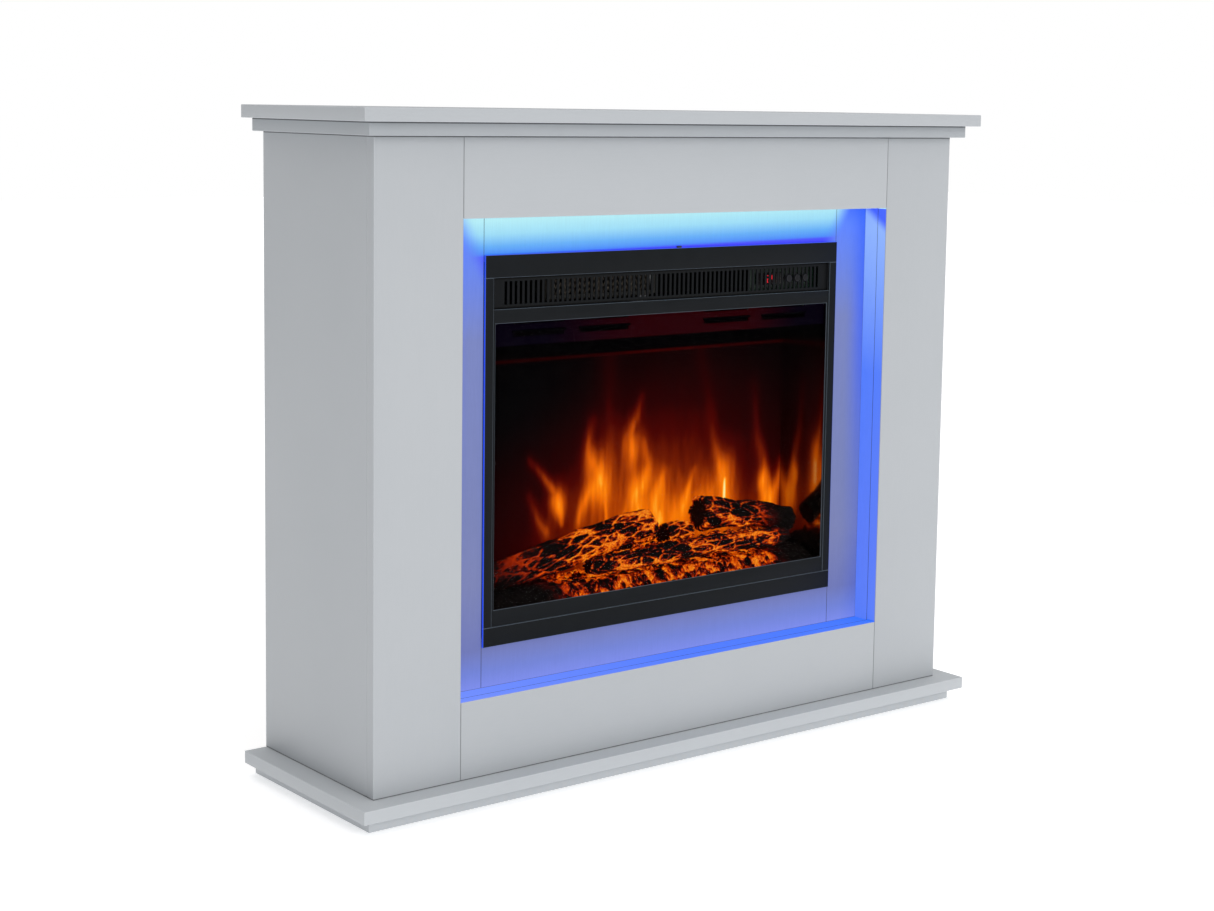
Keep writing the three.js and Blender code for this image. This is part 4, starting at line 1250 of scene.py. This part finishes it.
def screw_head():
    """A pan head with a cross recess, standing up from z = 0."""
    work = bmesh.new()
    profile = [(1.0, 0.0), (1.0, 0.35), (0.93, 0.62), (0.75, 0.86), (0.45, 0.97), (0.0, 1.0)]
    points = [Vector((across * SCREW_RADIUS, 0, up * SCREW_HEIGHT)) for across, up in profile]
    ring = [work.verts.new(point) for point in points]
    edges = [work.edges.new(pair) for pair in zip(ring, ring[1:])]
    bmesh.ops.spin(work, geom=ring + edges, cent=(0, 0, 0), axis=(0, 0, 1), angle=2 * math.pi, steps=28)
    bmesh.ops.remove_doubles(work, verts=work.verts, dist=1e-6)
    bmesh.ops.holes_fill(work, edges=[edge for edge in work.edges if edge.is_boundary])
    head = bpy.data.objects.new("head", mesh_from("head", work))
    arm, half, depth = SCREW_RADIUS * 0.55, SCREW_RADIUS * 0.13, SCREW_HEIGHT * 0.45
    for lowest in ((-arm, -half, depth), (-half, -arm, depth)):
        highest = (-lowest[0], -lowest[1], SCREW_HEIGHT * 2)
        cutter = linked("cutter", box_mesh("cutter", lowest, highest, 0.05 * MM))
        cut = head.modifiers.new("recess", "BOOLEAN")
        cut.object = cutter
        cut.operation = "DIFFERENCE"
        cut.solver = "EXACT"
    bpy.context.scene.collection.objects.link(head)
    shaped = bpy.data.meshes.new_from_object(head.evaluated_get(bpy.context.evaluated_depsgraph_get()))
    for cutter in [modifier.object for modifier in head.modifiers]:
        bpy.data.objects.remove(cutter)
    bpy.data.objects.remove(head)
    return shaped


def casing_screws():
    """The screws round the rim of the casing's back."""
    lowest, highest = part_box("casing_back")
    head = screw_head()
    inset = 8 * MM
    spots = []
    for share in (0.0, 0.25, 0.5, 0.75, 1.0):
        x = lowest.x + inset + (highest.x - lowest.x - 2 * inset) * share
        spots += [(x, lowest.z + inset), (x, highest.z - inset)]
    for share in (0.33, 0.67):
        z = lowest.z + (highest.z - lowest.z) * share
        spots += [(lowest.x + inset, z), (highest.x - inset, z)]
    turn = Matrix.Rotation(math.radians(-90), 4, "X")
    places = []
    for index, (x, z) in enumerate(spots):
        place = Matrix.Translation((x, highest.y, z)) @ turn
        places.append(place @ Matrix.Rotation(0.7 * index, 4, "Z"))
    mesh = joined("casing_screws", [head] * len(spots), places)
    new_piece("casing_screws", mesh, MATERIALS["zinc_steel"])


VENT_COUNT = 14
VENT_PITCH = 12 * MM
VENT_WIDTH = 5 * MM
VENT_HEIGHT = 34 * MM
HOOD_STAND = 4 * MM
HOOD_SHEET = 0.8 * MM


def prism(work, outline, bottom, top):
    """An upright prism over a flat outline of (x, y) points, added to a mesh in work."""
    lower = [work.verts.new((x, y, bottom)) for x, y in outline]
    upper = [work.verts.new((x, y, top)) for x, y in outline]
    work.faces.new(lower)
    work.faces.new(list(reversed(upper)))
    for index in range(len(outline)):
        after = (index + 1) % len(outline)
        work.faces.new((lower[index], lower[after], upper[after], upper[index]))


def vent_louvres():
    """Pressed hoods over the air slots in the casing's back, open towards one side."""
    face = high("casing_back").y
    centre = middle("blower_scroll").x
    bay = (high("bay_floor").z + low("casing_top").z) / 2
    work = bmesh.new()
    for index in range(VENT_COUNT):
        slot = centre + (index - (VENT_COUNT - 1) / 2) * VENT_PITCH
        root, lip = slot + VENT_WIDTH / 2 + HOOD_SHEET, slot - VENT_WIDTH / 2 - HOOD_SHEET
        hood = [(root, face), (lip, face + HOOD_STAND), (lip, face + HOOD_STAND - HOOD_SHEET)]
        hood.append((root - 2 * HOOD_SHEET, face))
        cheek = [(root, face), (lip, face + HOOD_STAND), (lip, face)]
        bottom, top = bay - VENT_HEIGHT / 2, bay + VENT_HEIGHT / 2
        prism(work, hood, bottom, top)
        prism(work, cheek, bottom - HOOD_SHEET, bottom)
        prism(work, cheek, top, top + HOOD_SHEET)
    mesh = mesh_from("vent_louvres", work, smooth=False)
    new_piece("vent_louvres", mesh, MATERIALS["casing_steel"])


LOUVRE_PITCH = 102 * MM
LOUVRE_WIDTH = 82 * MM
LOUVRE_ROWS = (568.0 * MM, 583.5 * MM)
LIP_HEIGHT = 3.0 * MM
LIP_STAND = 1.8 * MM


def baffle_lips():
    """A pressed lip over each slot of the sheet over the fire."""
    face = low("upper_baffle").y
    lips = []
    for column in (-2, -1, 1, 2):
        for row in LOUVRE_ROWS:
            left = column * LOUVRE_PITCH - LOUVRE_WIDTH / 2
            lowest = (left, face - LIP_STAND, row - LIP_HEIGHT / 2)
            highest = (left + LOUVRE_WIDTH, face + 0.2 * MM, row + LIP_HEIGHT / 2)
            lips.append(box_mesh("lip", lowest, highest, 0.7 * MM))
    mesh = joined("baffle_lips", lips, [Matrix.Identity(4)] * len(lips))
    new_piece("baffle_lips", mesh, MATERIALS["lip_steel"])


TAB_PLACE = 11.5 * MM
TAB_WIDTH = 7.0 * MM
TAB_HEIGHT = 2.5 * MM


def fascia_tab():
    """The small locating tab on the fascia's top edge."""
    lowest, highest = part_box("fascia_top_bar")
    corner = (TAB_PLACE - TAB_WIDTH / 2, lowest.y + 0.4 * MM, highest.z - 1.0 * MM)
    opposite = (TAB_PLACE + TAB_WIDTH / 2, highest.y, highest.z + TAB_HEIGHT)
    mesh = box_mesh("fascia_tab", corner, opposite, 0.6 * MM)
    new_piece("fascia_tab", mesh, MATERIALS["blackened_steel"])


display_digits("24")
heater_wires()
casing_screws()
vent_louvres()
baffle_lips()
fascia_tab()


# ================================================================== studio
def studio():
    """A white room: even light all round, less from the left, more from above."""
    shade = Shade("studio", bpy.data.worlds, "ShaderNodeOutputWorld")
    bpy.context.scene.world = shade.material
    split = shade.node("ShaderNodeSeparateXYZ")
    shade.feed(split.inputs[0], shade.node("ShaderNodeTexCoord").outputs["Generated"])
    level = shade.span(split.outputs[0], -0.95, -0.15, SIDE_LIGHT, 1.0)
    overhead = shade.span(split.outputs[2], 0.25, 0.95, 1.0, OVERHEAD_LIGHT)
    room = shade.times(shade.times(level, overhead), ROOM_LIGHT)
    # What the camera sees behind the object is plain white, and what lights it is softer.
    seen = shade.node("ShaderNodeLightPath").outputs["Is Camera Ray"]
    background = shade.node("ShaderNodeBackground")
    shade.feed(background.inputs["Color"], (1.0, 1.0, 1.0))
    shade.feed(background.inputs["Strength"], shade.span(seen, 0.0, 1.0, room, 1.0, smooth=False))
    shade.feed(shade.output.inputs["Surface"], background.outputs[0])


SIDE_LIGHT = 0.62
OVERHEAD_LIGHT = 1.7
ROOM_LIGHT = 0.63
KEY_LIGHT = 0.72
KEY_SIZE = 35.0
KEY_FROM = (0.10, -0.93, 0.36)
FLOOR_GLOW = 0.42
FLOOR_REACH = 14.0
FLOOR_DROP = 0.5 * MM


def floor():
    """A pale floor, just under the object's foot and not part of it."""
    shade = Shade("studio_floor")
    haze = shade.noise(shade.place(), 2.0, detail=2.0)
    material = shade.finish(
        base=shade.ramp(haze, [(0.3, (0.86, 0.86, 0.865)), (0.7, (0.88, 0.88, 0.885))]),
        rough=0.9,
        specular=0.0,
        glow=(1.0, 1.0, 1.0),
        strength=FLOOR_GLOW,
    )
    work = bmesh.new()
    bmesh.ops.create_grid(work, x_segments=8, y_segments=8, size=FLOOR_REACH)
    mesh = mesh_from("studio_floor", work)
    ground = linked("studio_floor", mesh)
    mesh.materials.append(material)
    ground.location.z = -FLOOR_DROP


def key_light():
    """A large soft light from the front, a little above the mantel."""
    data = bpy.data.lights.new("key_light", "SUN")
    data.energy = KEY_LIGHT
    data.angle = math.radians(KEY_SIZE)
    lamp = linked("key_light", data)
    lamp.rotation_euler = Vector(KEY_FROM).to_track_quat("Z", "Y").to_euler()


def camera():
    data = bpy.data.cameras.new("camera")
    data.sensor_width = SENSOR
    data.lens = CAMERA_LENS
    data.shift_x, data.shift_y = CAMERA_SHIFT
    data.dof.use_dof = False
    viewer = linked("camera", data)
    turn = Matrix.Rotation(math.radians(CAMERA_YAW), 4, "Z")
    turn @= Matrix.Rotation(math.radians(90 - CAMERA_PITCH), 4, "X")
    turn @= Matrix.Rotation(math.radians(CAMERA_ROLL), 4, "Z")
    viewer.matrix_world = Matrix.Translation(CAMERA_PLACE) @ turn
    bpy.context.scene.camera = viewer


studio()
key_light()
floor()
camera()
bpy.context.scene.view_settings.view_transform = "Standard"
